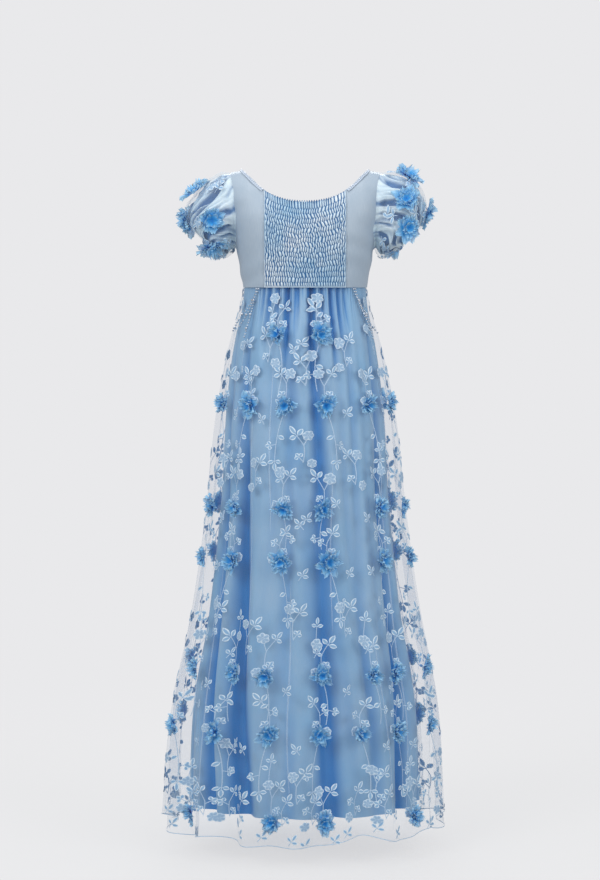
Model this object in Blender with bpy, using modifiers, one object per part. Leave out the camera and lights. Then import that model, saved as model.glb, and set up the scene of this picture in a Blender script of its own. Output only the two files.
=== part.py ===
"""A Regency gown with an empire waist, in its worn form, as the separate pieces it is sewn from.

The bodice has a plain front, two plain side backs, a shirred centre back and a bound neckline.
Each short puff sleeve is a satin puff with a puff of embroidered net over it. The skirt is a
gathered satin front and back, under a longer front and back of embroidered net. Raised fabric
flowers stand on the net.

Metres, +Z up, -Y the front of the gown, +X the wearer's left. The origin is where the wearer's
shoulders hold the gown up: the middle of the line between the crests of the two shoulders.
Angles round the body are in degrees from the centre back, positive towards the wearer's left.
"""

import math

import bmesh
import bpy
import numpy as np
from mathutils import Matrix, Vector
from mathutils.bvhtree import BVHTree

# ---------------------------------------------------------------- driving sizes

SATIN_WALL = 0.0012
NET_WALL = 0.0010
SEAM_GAP = 0.0003           # between two pieces sewn to each other

WAIST_Z = -0.2490           # empire seam, under the bust
UNDERARM_Z = -0.1650
SATIN_HEM_Z = -1.3450
NET_HEM_Z = -1.3970

SHOULDER_NECK_X = 0.1330    # inner end of the shoulder seam
PRINCESS_X = 0.0860         # seam between the shirred panel and a side back
BACK_NECK_DROP = 0.0760     # neckline below the shoulders at the centre back
FRONT_NECK_DROP = 0.1280    # and at the centre front
NECK_CURVE = 2.2            # how square the scoop of the neckline is
SHOULDER_SLOPE = 0.17       # fall of the shoulder line beyond SLOPE_FROM_X
SLOPE_FROM_X = 0.1200

CUP_X, CUP_Z = 0.0700, -0.1750      # fullest point of the bust darts' ease
CUP_RADIUS, CUP_EASE = 0.0450, 0.0100

BINDING_WIDTH = 0.0050

# Sections of the body that the bodice fits, from the empire seam up to the shoulder crest.
BODICE_SECTIONS = [
    # z, half_width, back_depth, front_depth, squareness
    (-0.2490, 0.1310, 0.0980, 0.1010, 2.30),
    (-0.2150, 0.1370, 0.1020, 0.1180, 2.40),
    (-0.1650, 0.1450, 0.1080, 0.1300, 2.60),
    (-0.1300, 0.1500, 0.1090, 0.1230, 2.80),
    (-0.0900, 0.1580, 0.1040, 0.1070, 3.00),
    (-0.0550, 0.1680, 0.0900, 0.0880, 3.00),
    (-0.0300, 0.1760, 0.0700, 0.0680, 3.00),
    (-0.0120, 0.1820, 0.0440, 0.0430, 2.80),
    (-0.0030, 0.1850, 0.0220, 0.0220, 2.60),
    (0.0000, 0.1860, 0.0002, 0.0002, 2.50),
]

# The armhole seam, seen from the back: how far out it runs at each height.
ARMHOLE = [
    # z, x
    (-0.1650, 0.1450),
    (-0.1300, 0.1455),
    (-0.0850, 0.1472),
    (-0.0550, 0.1490),
    (-0.0300, 0.1515),
    (-0.0120, 0.1550),
    (0.0000, 0.1575),
]

# Levels of the side panels' grids, from the waist: the underarm, the neckline's corner, the top.
UNDERARM_LEVEL, CORNER_LEVEL, SHOULDER_LEVEL = 3, 8, 14
SIDE_COLUMNS = 5
FRONT_COLUMNS = 10

# The shirred centre back.
SHIRR_GATHERS = 22
SHIRR_ROWS = 13             # rows of elastic thread
SHIRR_PUFF = 0.0028         # height of a pucker
SHIRR_WALL = 0.0010
SHIRR_INSIDE = (11, 13)     # columns and rows of the plain inside

# Sections of the satin skirt without its folds.
SKIRT_SECTIONS = [
    # z, half_width, back_depth, front_depth, squareness
    (-0.2490, 0.1310, 0.0980, 0.1010, 2.30),
    (-0.2900, 0.1350, 0.1060, 0.1060, 2.30),
    (-0.3500, 0.1480, 0.1200, 0.1150, 2.25),
    (-0.5000, 0.1680, 0.1420, 0.1320, 2.20),
    (-0.7000, 0.1800, 0.1600, 0.1470, 2.15),
    (-0.9200, 0.2060, 0.1800, 0.1660, 2.10),
    (-1.1300, 0.2420, 0.2000, 0.1860, 2.05),
    (-1.3450, 0.2520, 0.2180, 0.2050, 2.05),
    (-1.4000, 0.2540, 0.2220, 0.2090, 2.05),
]

# The long folds of the satin skirt. Each hangs nearly straight, so its angle round the flaring
# skirt changes from the waist to the hem, and so does its depth.
LONG_FOLDS = [
    # angle_waist, angle_hem, half_angle, depth_waist, depth_hip, depth_hem
    (57.0, 33.0, 6.5, 0.0010, 0.0150, 0.0360),
    (80.0, 55.0, 5.5, 0.0000, 0.0080, 0.0260),
    (12.0, 8.0, 4.0, 0.0020, 0.0110, 0.0060),
    (-6.0, -13.0, 5.5, 0.0020, 0.0170, 0.0300),
    (-34.0, -36.0, 4.5, 0.0010, 0.0050, 0.0090),
    (-70.0, -57.0, 5.5, 0.0010, 0.0160, 0.0320),
    (-104.0, -82.0, 6.0, 0.0000, 0.0080, 0.0220),
    (104.0, 84.0, 6.0, 0.0000, 0.0080, 0.0220),
    (118.0, 112.0, 7.0, 0.0000, 0.0080, 0.0250),
    (-120.0, -112.0, 7.0, 0.0000, 0.0080, 0.0270),
    (146.0, 141.0, 7.0, 0.0010, 0.0080, 0.0240),
    (-150.0, -144.0, 7.0, 0.0010, 0.0080, 0.0230),
    (174.0, 171.0, 7.0, 0.0010, 0.0070, 0.0220),
]
HIP_Z = -0.5000

# The short gathers where the skirt is sewn to the shirred panel.
GATHER_ANGLES = (41.0, 33.5, 24.0, 15.0, 6.0, -4.5, -13.5, -22.5, -30.5, -38.0)
GATHER_DEPTHS = (0.004, 0.006, 0.005, 0.009, 0.005, 0.009, 0.005, 0.008, 0.007, 0.004)
GATHER_HALF_ANGLE = 2.6
GATHER_FADE = 0.1500        # length over which they die out

# How the net skirt hangs over the satin one.
NET_STAND_OFF = [
    # z, stand_off, ripple
    (-0.2490, 0.0024, 0.0000),
    (-0.3000, 0.0060, 0.0006),
    (-0.4000, 0.0130, 0.0025),
    (-0.6000, 0.0260, 0.0050),
    (-0.8500, 0.0330, 0.0070),
    (-1.1000, 0.0400, 0.0100),
    (-1.2500, 0.0440, 0.0120),
    (-1.4000, 0.0460, 0.0140),
]
NET_FOLLOWS = 0.55          # share of a satin fold that the net sinks into
NET_RIPPLES = 17
NET_HEM_LIFTS = [
    # angle, half_angle, lift
    (-24.0, 11.0, 0.020),
    (-62.0, 10.0, 0.016),
    (42.0, 10.0, 0.012),
    (88.0, 14.0, 0.020),
    (-104.0, 14.0, 0.018),
    (132.0, 13.0, 0.014),
    (-150.0, 12.0, 0.016),
]

# Heights of the skirts' rings. Both skirts share the upper ones.
SKIRT_RINGS = (WAIST_Z - 2 * SEAM_GAP, -0.3000, -0.4000, -0.6000, -0.8800, -1.1300)
SATIN_RINGS = SKIRT_RINGS + (SATIN_HEM_Z,)
NET_RINGS = SKIRT_RINGS + (-1.2700, NET_HEM_Z)
FINE_ANGLE, FINE_COLUMNS = 44.0, 40     # round the centre back, where the gathers are
WIDE_COLUMNS = 48                       # round the rest

# The two puffs of a sleeve, from the armhole to the cuff, by their outline seen from the back.
SLEEVE_OUTLINES = {
    "left": [
        # top_x, top_z, low_x, low_z, half_deep
        (0.1780, -0.0040, 0.1500, -0.1720, 0.0640),
        (0.2050, -0.0200, 0.1580, -0.1820, 0.0740),
        (0.2320, -0.0440, 0.1680, -0.1870, 0.0790),
        (0.2530, -0.0760, 0.1800, -0.1850, 0.0740),
        (0.2560, -0.1060, 0.1880, -0.1800, 0.0590),
        (0.2400, -0.1270, 0.1900, -0.1750, 0.0380),
    ],
    "right": [
        (0.1800, -0.0040, 0.1500, -0.1780, 0.0640),
        (0.2120, -0.0100, 0.1580, -0.1870, 0.0750),
        (0.2400, -0.0280, 0.1680, -0.1880, 0.0800),
        (0.2560, -0.0620, 0.1810, -0.1840, 0.0750),
        (0.2580, -0.1000, 0.1880, -0.1780, 0.0600),
        (0.2400, -0.1300, 0.1910, -0.1750, 0.0380),
    ],
}
SLEEVE_SHIFT = 0.0008       # the sleeve's head clears the armhole by this, sideways
SATIN_PUFF_DEPTHS = (0.0024, 0.0060, 0.0075, 0.0075, 0.0070, 0.0060, 0.0024)    # by ring
HEAD_PLEATS = 9             # creases that fan out from the sleeve's head
CUFF_GATHERS = 14
PLEAT_DEPTH = 0.0060
CUFF_GATHER_DEPTH = 0.0030
SLEEVE_COLUMNS = {"net": 30, "satin": 24}

# Raised flowers.
FLOWER_RADIUS = 0.0250
FLOWER_HEIGHT = 0.0120
FLOWER_ROOT = 0.0005        # depth of the root in the net's wall
PETALS = 5

SKIRT_FLOWERS = [
    # z, angles of the flowers on the back, number on the front
    (-0.347, (19.0, -10.0), 2),
    (-0.493, (66.0, 38.0, 12.0, -12.0, -45.0, -74.0), 4),
    (-0.708, (70.0, 45.0, 12.0, -10.0, -49.0, -76.0), 5),
    (-0.816, (72.0, 44.0, 13.0, -12.0, -48.0, -76.0), 5),
    (-1.049, (64.0, 37.0, 18.0, -8.0, -31.0, -47.0, -74.0), 6),
    (-1.170, (68.0, 42.0, 16.0, -6.0, -25.0, -43.0, -72.0), 6),
    (-1.350, (60.0, 14.0, -8.0, -52.0), 3),
]

SLEEVE_FLOWERS = {
    "left": [
        # ring, angle from the sleeve's top towards the back
        (3.0, 12.0),
        (2.7, 88.0),
        (4.7, 25.0),
        (4.0, 128.0),
        (2.4, -70.0),
        (4.2, -55.0),
        (3.2, -130.0),
    ],
    "right": [
        (2.2, 15.0),
        (2.6, 62.0),
        (4.0, 92.0),
        (4.6, 18.0),
        (2.2, -65.0),
        (4.2, -60.0),
        (3.2, -125.0),
    ],
}

COLOURS = {
    # red, green, blue, roughness
    "satin_bodice": (0.47, 0.57, 0.70, 0.40),
    "satin_shirred": (0.46, 0.60, 0.76, 0.42),
    "satin_skirt": (0.33, 0.47, 0.70, 0.40),
    "satin_sleeve": (0.48, 0.60, 0.76, 0.42),
    "net": (0.52, 0.67, 0.86, 0.70),
    "binding": (0.74, 0.80, 0.86, 0.45),
}


# ---------------------------------------------------------------- curves and sections

def between(table, at):
    """The other columns of a table where its first column is `at`, on a smooth curve."""
    rows = np.array(sorted(table), float)
    keys = rows[:, 0]
    at = min(max(at, keys[0]), keys[-1])
    low = int(np.clip(np.searchsorted(keys, at) - 1, 0, len(keys) - 2))
    step = keys[low + 1] - keys[low]
    share = (at - keys[low]) / step
    slopes = np.gradient(rows, keys, axis=0) * step
    rise = rows[low + 1] - rows[low]
    bend = (1 - share) * (slopes[low] - rise) + share * (rise - slopes[low + 1])
    return (rows[low] + rise * share + share * (1 - share) * bend)[1:]


def angle_apart(a, b):
    return (a - b + 180.0) % 360.0 - 180.0


def bump(distance, half_width):
    return math.exp(-((distance / half_width) ** 2))


def signed_power(value, power):
    return math.copysign(abs(value) ** power, value)


def uneven(number):
    """A fixed value from 0 to 1 that looks random, for each whole number."""
    return (math.sin(number * 12.9898 + 4.1414) * 43758.5453) % 1.0


def on_section(section, angle):
    """The x and y of a section at an angle round the body."""
    half_width, back_depth, front_depth, squareness = section
    turn = math.radians(angle)
    depth = back_depth if math.cos(turn) > 0 else front_depth
    return (half_width * signed_power(math.sin(turn), 2 / squareness),
            depth * signed_power(math.cos(turn), 2 / squareness))


def angle_at_x(section, x, front):
    """The angle at which a section's front or back half reaches x."""
    share = min(1.0, abs(x) / section[0])
    angle = math.degrees(math.asin(share ** (section[3] / 2)))
    return math.copysign(180.0 - angle if front else angle, x)


# ---------------------------------------------------------------- meshes and objects

def collection_named(name):
    made = bpy.data.collections.new(name)
    bpy.context.scene.collection.children.link(made)
    return made


def material_named(name):
    red, green, blue, roughness = COLOURS[name]
    made = bpy.data.materials.new(name)
    made.use_nodes = True
    shader = made.node_tree.nodes["Principled BSDF"]
    shader.inputs["Base Color"].default_value = (red, green, blue, 1.0)
    shader.inputs["Roughness"].default_value = roughness
    shader.inputs["Metallic"].default_value = 0.0
    return made


def grid_mesh(name, patches, closed=False, inside=None):
    """An open surface of one or more grids of points, which faces away from `inside`.

    Grids that share an edge are joined. Without an inside point it is the upright axis.
    """
    shape = bmesh.new()
    for rows in patches:
        corners = [[shape.verts.new(point) for point in row] for row in rows]
        for upper, lower in zip(corners, corners[1:]):
            count = len(upper)
            for column in range(count if closed else count - 1):
                after = (column + 1) % count
                shape.faces.new((upper[column], upper[after], lower[after], lower[column]))
    bmesh.ops.remove_doubles(shape, verts=shape.verts, dist=1e-5)
    bmesh.ops.triangulate(shape, faces=shape.faces, quad_method="SHORT_EDGE")
    bmesh.ops.recalc_face_normals(shape, faces=shape.faces)
    face_away(shape, inside)
    mesh = bpy.data.meshes.new(name)
    shape.to_mesh(mesh)
    shape.free()
    return mesh


def face_away(shape, inside):
    """Turns all faces of a surface over if most of them look towards its inside."""
    outward = 0.0
    for face in shape.faces:
        centre = face.calc_center_median()
        line = centre - inside if inside else Vector((centre.x, centre.y, 0.0))
        outward += line.dot(face.normal) * face.calc_area()
    if outward < 0:
        bmesh.ops.reverse_faces(shape, faces=shape.faces)


def piece(name, mesh, material_name, wall=None):
    """A sewn piece: a surface that gets its wall on the inside."""
    made = bpy.data.objects.new(name, mesh)
    mesh.materials.append(material_named(material_name))
    mesh.shade_smooth()
    mesh.set_sharp_from_angle(angle=math.radians(40))
    gown.objects.link(made)
    if wall:
        solid = made.modifiers.new("wall", "SOLIDIFY")
        solid.thickness = wall
        solid.offset = -1.0
        solid.use_even_offset = True
        solid.use_quality_normals = True
    return made


def helper(name, mesh):
    """An object that only cuts or joins others."""
    made = bpy.data.objects.new(name, mesh)
    made.hide_render = True
    made.display_type = "WIRE"
    helpers.objects.link(made)
    return made


def combine(target, other, operation):
    step = target.modifiers.new(other.name, "BOOLEAN")
    step.operation = operation
    step.solver = "EXACT"
    step.object = other


# ---------------------------------------------------------------- the bodice's form

def cup_ease(x, z):
    """How far the darts let the front stand out over the bust."""
    return CUP_EASE * bump(math.hypot(abs(x) - CUP_X, z - CUP_Z), CUP_RADIUS)


def bodice_point(angle, z):
    """A point of the bodice's outer face. The shoulder line falls towards the arms."""
    x, y = on_section(between(BODICE_SECTIONS, z), angle)
    if abs(angle) > 90.0:
        y -= cup_ease(x, z)
    near_shoulder = min(1.0, max(0.0, (z + 0.14) / 0.10))
    fall = SHOULDER_SLOPE * max(0.0, abs(x) - SLOPE_FROM_X) * near_shoulder
    return Vector((x, y, z - fall))


def neckline_z(x, drop):
    return -drop * (1.0 - min(1.0, abs(x) / SHOULDER_NECK_X) ** NECK_CURVE)


def bodice_place(x, z, front):
    """Angle and height of the place at x and z on the front or the back."""
    return angle_at_x(between(BODICE_SECTIONS, z), x, front), z


def armhole_place(share, front):
    """The armhole's edge, from the underarm at 0 to the shoulder at 1."""
    z = UNDERARM_Z * (1.0 + math.cos(math.pi * share)) / 2
    x = between(ARMHOLE, z)[0]
    return bodice_place(x, z, front)


def inner_place(level, front):
    """The inner edge of a side panel: up at PRINCESS_X, then along the neckline."""
    drop = FRONT_NECK_DROP if front else BACK_NECK_DROP
    if level <= CORNER_LEVEL:
        z = WAIST_Z + (neckline_z(PRINCESS_X, drop) - WAIST_Z) * level / CORNER_LEVEL
        return bodice_place(PRINCESS_X, z, front)
    share = (level - CORNER_LEVEL) / (SHOULDER_LEVEL - CORNER_LEVEL)
    x = PRINCESS_X + (SHOULDER_NECK_X - PRINCESS_X) * math.sin(share * math.pi / 2)
    return bodice_place(x, neckline_z(x, drop), front)


def outer_place(level, front):
    """The outer edge of a side panel: up the side seam, then round the armhole."""
    if level <= UNDERARM_LEVEL:
        return 90.0, WAIST_Z + (UNDERARM_Z - WAIST_Z) * level / UNDERARM_LEVEL
    return armhole_place((level - UNDERARM_LEVEL) / (SHOULDER_LEVEL - UNDERARM_LEVEL), front)


def side_panel(side, front, shift):
    """Points of a side panel on the wearer's left (side 1) or right (side -1)."""
    rows = []
    for level in range(SHOULDER_LEVEL + 1):
        inner = inner_place(level, front)
        outer = outer_place(level, front)
        row = []
        for column in range(SIDE_COLUMNS + 1):
            share = column / SIDE_COLUMNS
            angle = inner[0] + (outer[0] - inner[0]) * share
            z = inner[1] + (outer[1] - inner[1]) * share
            point = bodice_point(angle, z) + shift
            row.append(Vector((side * point.x, point.y, point.z)))
        rows.append(row)
    return rows


def panel_shift(front):
    """Parts the front from the back along the side and shoulder seams."""
    return Vector((0.0, -2 * SEAM_GAP if front else 2 * SEAM_GAP, 0.0))


def side_back(name, side):
    rows = side_panel(side, False, panel_shift(False) + Vector((SEAM_GAP, 0.0, 0.0)))
    return piece(name, grid_mesh(name, [rows]), "satin_bodice", SATIN_WALL)


def bodice_front():
    """The whole front in one piece, with a scooped neck and two straps."""
    shift = panel_shift(True)
    middle = []
    for level in range(CORNER_LEVEL + 1):
        row = []
        for column in range(FRONT_COLUMNS + 1):
            x = PRINCESS_X * (2 * column / FRONT_COLUMNS - 1)
            top = neckline_z(x, FRONT_NECK_DROP)
            z = WAIST_Z + (top - WAIST_Z) * level / CORNER_LEVEL
            row.append(bodice_point(*bodice_place(x, z, True)) + shift)
        middle.append(row)
    sides = [side_panel(side, True, shift) for side in (1, -1)]
    mesh = grid_mesh("bodice_front", [middle, *sides])
    return piece("bodice_front", mesh, "satin_bodice", SATIN_WALL)


# ---------------------------------------------------------------- the shirred centre back

def pucker(column, row):
    """Height of the shirred cloth at a point of its fine grid, over its elastic threads."""
    columns, rows = 2 * SHIRR_GATHERS, 2 * SHIRR_ROWS
    if column in (0, columns) or row == 0:
        return 0.0
    on_thread = row % 2 == 0 and row < rows
    on_rib = column % 2 == 1
    height = SHIRR_PUFF * (0.75 + 0.25 * uneven(column * 31 + row * 7))
    if on_thread:
        return height * (0.35 if on_rib else 0.0)
    return height if on_rib else height * 0.25


def panel_point(share_x, share_z, lift):
    """A point of the shirred panel, by its share of the width and of the height."""
    x = (PRINCESS_X - SEAM_GAP) * (2 * share_x - 1)
    top = neckline_z(x, BACK_NECK_DROP)
    z = WAIST_Z + (top - WAIST_Z) * share_z
    point = bodice_point(*bodice_place(x, z, False))
    out = Vector((point.x * 0.35, point.y, 0.0)).normalized()
    return point + out * lift


def shirred_back():
    """A wall with its outer face puckered between rows of thread, and a plain inside."""
    columns, rows = 2 * SHIRR_GATHERS, 2 * SHIRR_ROWS
    in_columns, in_rows = SHIRR_INSIDE
    shape = bmesh.new()
    outer = [[shape.verts.new(panel_point(i / columns, j / rows, pucker(i, j)))
              for i in range(columns + 1)] for j in range(rows + 1)]
    inner = [[shape.verts.new(panel_point(i / in_columns, j / in_rows, -SHIRR_WALL))
              for i in range(in_columns + 1)] for j in range(in_rows + 1)]
    for grid in (outer, inner):
        for lower, upper in zip(grid, grid[1:]):
            for i in range(len(lower) - 1):
                shape.faces.new((lower[i], lower[i + 1], upper[i + 1], upper[i]))
    for edge in (0, -1):
        join_edges(shape, outer[edge], inner[edge])
        join_edges(shape, [line[edge] for line in outer], [line[edge] for line in inner])
    bmesh.ops.recalc_face_normals(shape, faces=shape.faces)
    mesh = bpy.data.meshes.new("bodice_back_shirred")
    shape.to_mesh(mesh)
    shape.free()
    return piece("bodice_back_shirred", mesh, "satin_shirred")


def join_edges(shape, fine, coarse):
    """Closes the edge of a wall between a fine row of points and a coarse one."""
    ratio = (len(fine) - 1) // (len(coarse) - 1)
    for step in range(len(coarse) - 1):
        stretch = fine[step * ratio:(step + 1) * ratio + 1]
        shape.faces.new((*stretch, coarse[step + 1], coarse[step]))


# ---------------------------------------------------------------- the neck binding

def neckline_places():
    """Places along the neckline, from the left corner of the shirred panel round to the right."""
    back_steps, front_steps = 9, 24
    start = PRINCESS_X + 5 * SEAM_GAP
    left = []
    for step in range(back_steps):
        x = start + (SHOULDER_NECK_X - start) * math.sin(step / back_steps * math.pi / 2)
        left.append((x, neckline_z(x, BACK_NECK_DROP), False))
    front = []
    for step in range(front_steps + 1):
        x = SHOULDER_NECK_X * math.cos(step / front_steps * math.pi)
        front.append((x, neckline_z(x, FRONT_NECK_DROP), True))
    return left + front + [(-x, z, side) for x, z, side in reversed(left)]


def surface_normal(x, z, front):
    """The outward direction of the bodice's face at x and z."""
    z = min(z, -0.002)
    step = 0.001
    here = bodice_point(*bodice_place(x, z, front))
    across = bodice_point(*bodice_place(x + step, z, front)) - here
    down = bodice_point(*bodice_place(x, z - step, front)) - here
    normal = across.cross(down).normalized()
    return normal if normal.y * (-1 if front else 1) > 0 else -normal


def neck_binding():
    """A narrow tape on the neckline's edge, from one corner of the back panel to the other."""
    places = neckline_places()
    points = [bodice_point(*bodice_place(*place)) + panel_shift(place[2]) for place in places]
    normals = [surface_normal(*place) for place in places]
    rows = [[], []]
    for index, point in enumerate(points):
        before, after = max(index - 1, 0), min(index + 1, len(points) - 1)
        along = (points[after] - points[before]).normalized()
        up = (normals[before] + normals[index] * 2 + normals[after]).normalized()
        away = up.cross(along).normalized()
        if away.dot(point) < 0:
            away = -away
        for row, width in zip(rows, (0.0, BINDING_WIDTH)):
            row.append(point + away * width + up * (NET_WALL + 4 * SEAM_GAP))
    shape = grid_mesh("neck_binding", [rows])
    return piece("neck_binding", shape, "binding", NET_WALL)


# ---------------------------------------------------------------- the skirts

def ring_angles():
    """Angles of the columns of both skirts, closer together below the shirred panel."""
    fine = [FINE_ANGLE * (2 * step / FINE_COLUMNS - 1) for step in range(FINE_COLUMNS)]
    rest = 360.0 - 2 * FINE_ANGLE
    return fine + [FINE_ANGLE + rest * step / WIDE_COLUMNS for step in range(WIDE_COLUMNS)]


def long_fold_depth(angle, z):
    """Depth of the long folds at a place on the satin skirt."""
    down = (WAIST_Z - z) / (WAIST_Z - SATIN_HEM_Z)
    total = 0.0
    for angle_waist, angle_hem, half_angle, waist, hip, hem in LONG_FOLDS:
        if z > HIP_Z:
            depth = waist + (hip - waist) * (WAIST_Z - z) / (WAIST_Z - HIP_Z)
        else:
            depth = hip + (hem - hip) * min(1.0, (HIP_Z - z) / (HIP_Z - SATIN_HEM_Z))
        middle = angle_waist + (angle_hem - angle_waist) * down
        total += depth * bump(angle_apart(angle, middle), half_angle)
    return total


def gather_depth(angle, z):
    """Depth of the short gathers below the shirred panel."""
    fade = max(0.0, 1.0 - (WAIST_Z - z) / GATHER_FADE) ** 0.7
    return fade * sum(depth * bump(angle_apart(angle, middle), GATHER_HALF_ANGLE)
                      for middle, depth in zip(GATHER_ANGLES, GATHER_DEPTHS))


def skirt_point(angle, z, outwards):
    x, y = on_section(between(SKIRT_SECTIONS, z), angle)
    out = Vector((x, y, 0.0)).normalized()
    return Vector((x, y, z)) + out * outwards


def satin_point(angle, z):
    waist_tuck = NET_STAND_OFF[0][1]
    return skirt_point(angle, z, -waist_tuck - long_fold_depth(angle, z) - gather_depth(angle, z))


def net_point(angle, z):
    stand_off, ripple = between(NET_STAND_OFF, z)
    stand_off *= 0.65 + 0.35 * abs(math.sin(math.radians(angle)))
    wave = math.sin(math.radians(angle * NET_RIPPLES + 40.0 * math.sin(math.radians(3 * angle))))
    sunk = NET_FOLLOWS * long_fold_depth(angle, z) + gather_depth(angle, z)
    return skirt_point(angle, z, stand_off - NET_STAND_OFF[0][1] + ripple * wave - sunk)


def net_hem_lift(angle):
    return sum(lift * bump(angle_apart(angle, middle), half_angle)
               for middle, half_angle, lift in NET_HEM_LIFTS)


def skirt_tube(name, rings, point_at, hem_lift):
    """The open surface of a whole skirt."""
    angles = ring_angles()
    rows = []
    for z in rings:
        last = z == rings[-1]
        rows.append([point_at(angle, z + (hem_lift(angle) if last else 0.0)) for angle in angles])
    return grid_mesh(name, [rows], closed=True)


def half_space(name, back):
    """A box that keeps the back or the front of a skirt, with the side seams' gap left out."""
    shape = bmesh.new()
    bmesh.ops.create_cube(shape, size=1.0)
    middle_y = (0.25 + SEAM_GAP / 2) * (1 if back else -1)
    place = Matrix.Translation((0.0, middle_y, -0.9)) @ Matrix.Diagonal((0.9, 0.5, 1.6, 1.0))
    bmesh.ops.transform(shape, matrix=place, verts=shape.verts)
    mesh = bpy.data.meshes.new(name)
    shape.to_mesh(mesh)
    shape.free()
    return helper(name, mesh)


def skirt_halves(kind, rings, point_at, hem_lift, material_name, wall, halves):
    """The back and the front of one skirt, as two pieces."""
    made = {}
    for half in ("back", "front"):
        name = f"skirt_{kind}_{half}"
        mesh = skirt_tube(name, rings, point_at, hem_lift)
        made[half] = piece(name, mesh, material_name, wall)
        combine(made[half], halves[half], "INTERSECT")
    return made


# ---------------------------------------------------------------- the sleeves

def armhole_ring_point(angle):
    """The sleeve's head: the armhole's edge at an angle from its top towards the back."""
    turn = abs(angle_apart(angle, 0.0))
    front = angle_apart(angle, 0.0) < 0
    place = armhole_place(1.0 - turn / 180.0, front)
    return bodice_point(*place) + Vector((SLEEVE_SHIFT, 0.0, 0.0))


def sleeve_pleats(side, ring, angle):
    """Depth of a puff's creases: pleats from the head and fine gathers at the cuff."""
    last = len(SLEEVE_OUTLINES[side])
    phase = 25.0 if side == "left" else 70.0
    warped = angle + 9.0 * math.sin(math.radians(2 * angle + phase))
    head = math.sin(min(1.0, ring / last) * math.pi) ** 0.6 if 0 < ring < last else 0.0
    pleat = (0.5 + 0.5 * math.cos(math.radians(HEAD_PLEATS * warped + phase))) ** 2
    cuff = max(0.0, ring / last - 0.6) / 0.4
    gather = 0.5 + 0.5 * math.cos(math.radians(CUFF_GATHERS * angle))
    uneven_depth = 0.6 + 0.4 * math.sin(math.radians(2 * angle + 3 * phase))
    return PLEAT_DEPTH * head * pleat * uneven_depth + CUFF_GATHER_DEPTH * cuff * gather


def sleeve_point(side, ring, angle):
    """A point of a sleeve's net puff. The ring runs from 0 at the armhole to the cuff."""
    if ring == 0:
        return armhole_ring_point(angle)
    table = [(number + 1, *row) for number, row in enumerate(SLEEVE_OUTLINES[side])]
    top_x, top_z, low_x, low_z, half_deep = between(table, ring)
    middle = Vector(((top_x + low_x) / 2, 0.0, (top_z + low_z) / 2))
    up = Vector(((top_x - low_x) / 2, 0.0, (top_z - low_z) / 2))
    cut = sleeve_pleats(side, ring, angle)
    turn = math.radians(angle)
    across = up * math.cos(turn) * (1.0 - cut / up.length)
    deep = Vector((0.0, (half_deep - cut) * math.sin(turn), 0.0))
    return middle + across + deep


def moved_in(rows, depths):
    """A tube's rings of points moved inwards, square to its surface, each ring by its depth."""
    moved = []
    for ring, row in enumerate(rows):
        before, after = rows[max(ring - 1, 0)], rows[min(ring + 1, len(rows) - 1)]
        new_row = []
        for column, point in enumerate(row):
            around = row[(column + 1) % len(row)] - row[column - 1]
            inwards = around.cross(after[column] - before[column]).normalized()
            new_row.append(point + inwards * depths[ring])
        moved.append(new_row)
    return moved


def puff(side, layer, material_name, wall):
    """One layer of a puff sleeve, as an open tube. The satin one lies inside the net one."""
    name = f"sleeve_{layer}_{side}"
    mirror = 1.0 if side == "left" else -1.0
    rings = len(SLEEVE_OUTLINES[side]) + 1
    columns = SLEEVE_COLUMNS[layer]
    rows = [[sleeve_point(side, ring, 360.0 * column / columns) for column in range(columns)]
            for ring in range(rings)]
    if layer == "satin":
        rows = moved_in(rows, SATIN_PUFF_DEPTHS)
    rows = [[Vector((mirror * point.x, point.y, point.z)) for point in row] for row in rows]
    inside = sum((point for row in rows for point in row), Vector()) / (rings * columns)
    mesh = grid_mesh(name, [rows], closed=True, inside=inside)
    return piece(name, mesh, material_name, wall)


# ---------------------------------------------------------------- raised flowers

def add_flower(shape, centre, normal, number):
    """A closed five-petalled star on a pointed root that ends inside the net's wall."""
    radius = FLOWER_RADIUS * (0.9 + 0.2 * uneven(number))
    spin = math.tau * uneven(number + 50)
    side = normal.orthogonal().normalized()
    other = normal.cross(side)
    root = shape.verts.new(centre - normal * FLOWER_ROOT)
    crown = shape.verts.new(centre + normal * FLOWER_HEIGHT * 0.85)
    ring = []
    for step in range(2 * PETALS):
        turn = spin + math.pi * step / PETALS
        is_tip = step % 2 == 0
        reach = radius if is_tip else radius * 0.60
        height = FLOWER_HEIGHT * (1.0 if is_tip else 0.55)
        around = side * math.cos(turn) + other * math.sin(turn)
        ring.append(shape.verts.new(centre + around * reach + normal * height))
    for step, corner in enumerate(ring):
        after = ring[(step + 1) % len(ring)]
        shape.faces.new((root, after, corner))
        shape.faces.new((crown, corner, after))


def flower_mesh(name, surface, aims):
    """The flowers of one piece, each where the ray from a point to its target meets the cloth."""
    tree = BVHTree.FromPolygons([vertex.co for vertex in surface.vertices],
                                [tuple(face.vertices) for face in surface.polygons])
    shape = bmesh.new()
    for number, (start, target) in enumerate(aims):
        place, normal, _, _ = tree.ray_cast(start, (target - start).normalized())
        if normal.dot(start - target) < 0:
            normal = -normal
        lean = (normal + (start - target).normalized()).normalized()
        add_flower(shape, place, lean, number)
    bmesh.ops.recalc_face_normals(shape, faces=shape.faces)
    mesh = bpy.data.meshes.new(name)
    shape.to_mesh(mesh)
    shape.free()
    return mesh


def skirt_aims(half):
    """Rays from outside the net skirt, at the places of its flowers."""
    aims = []
    for z, back_angles, front_count in SKIRT_FLOWERS:
        spread = 160.0 / front_count
        angles = back_angles if half == "back" else [
            180.0 - 80.0 + spread * (step + 0.5) for step in range(front_count)]
        for angle in angles:
            aims.append((skirt_point(angle, z, 0.3), Vector((0.0, 0.0, z))))
    return aims


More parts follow.
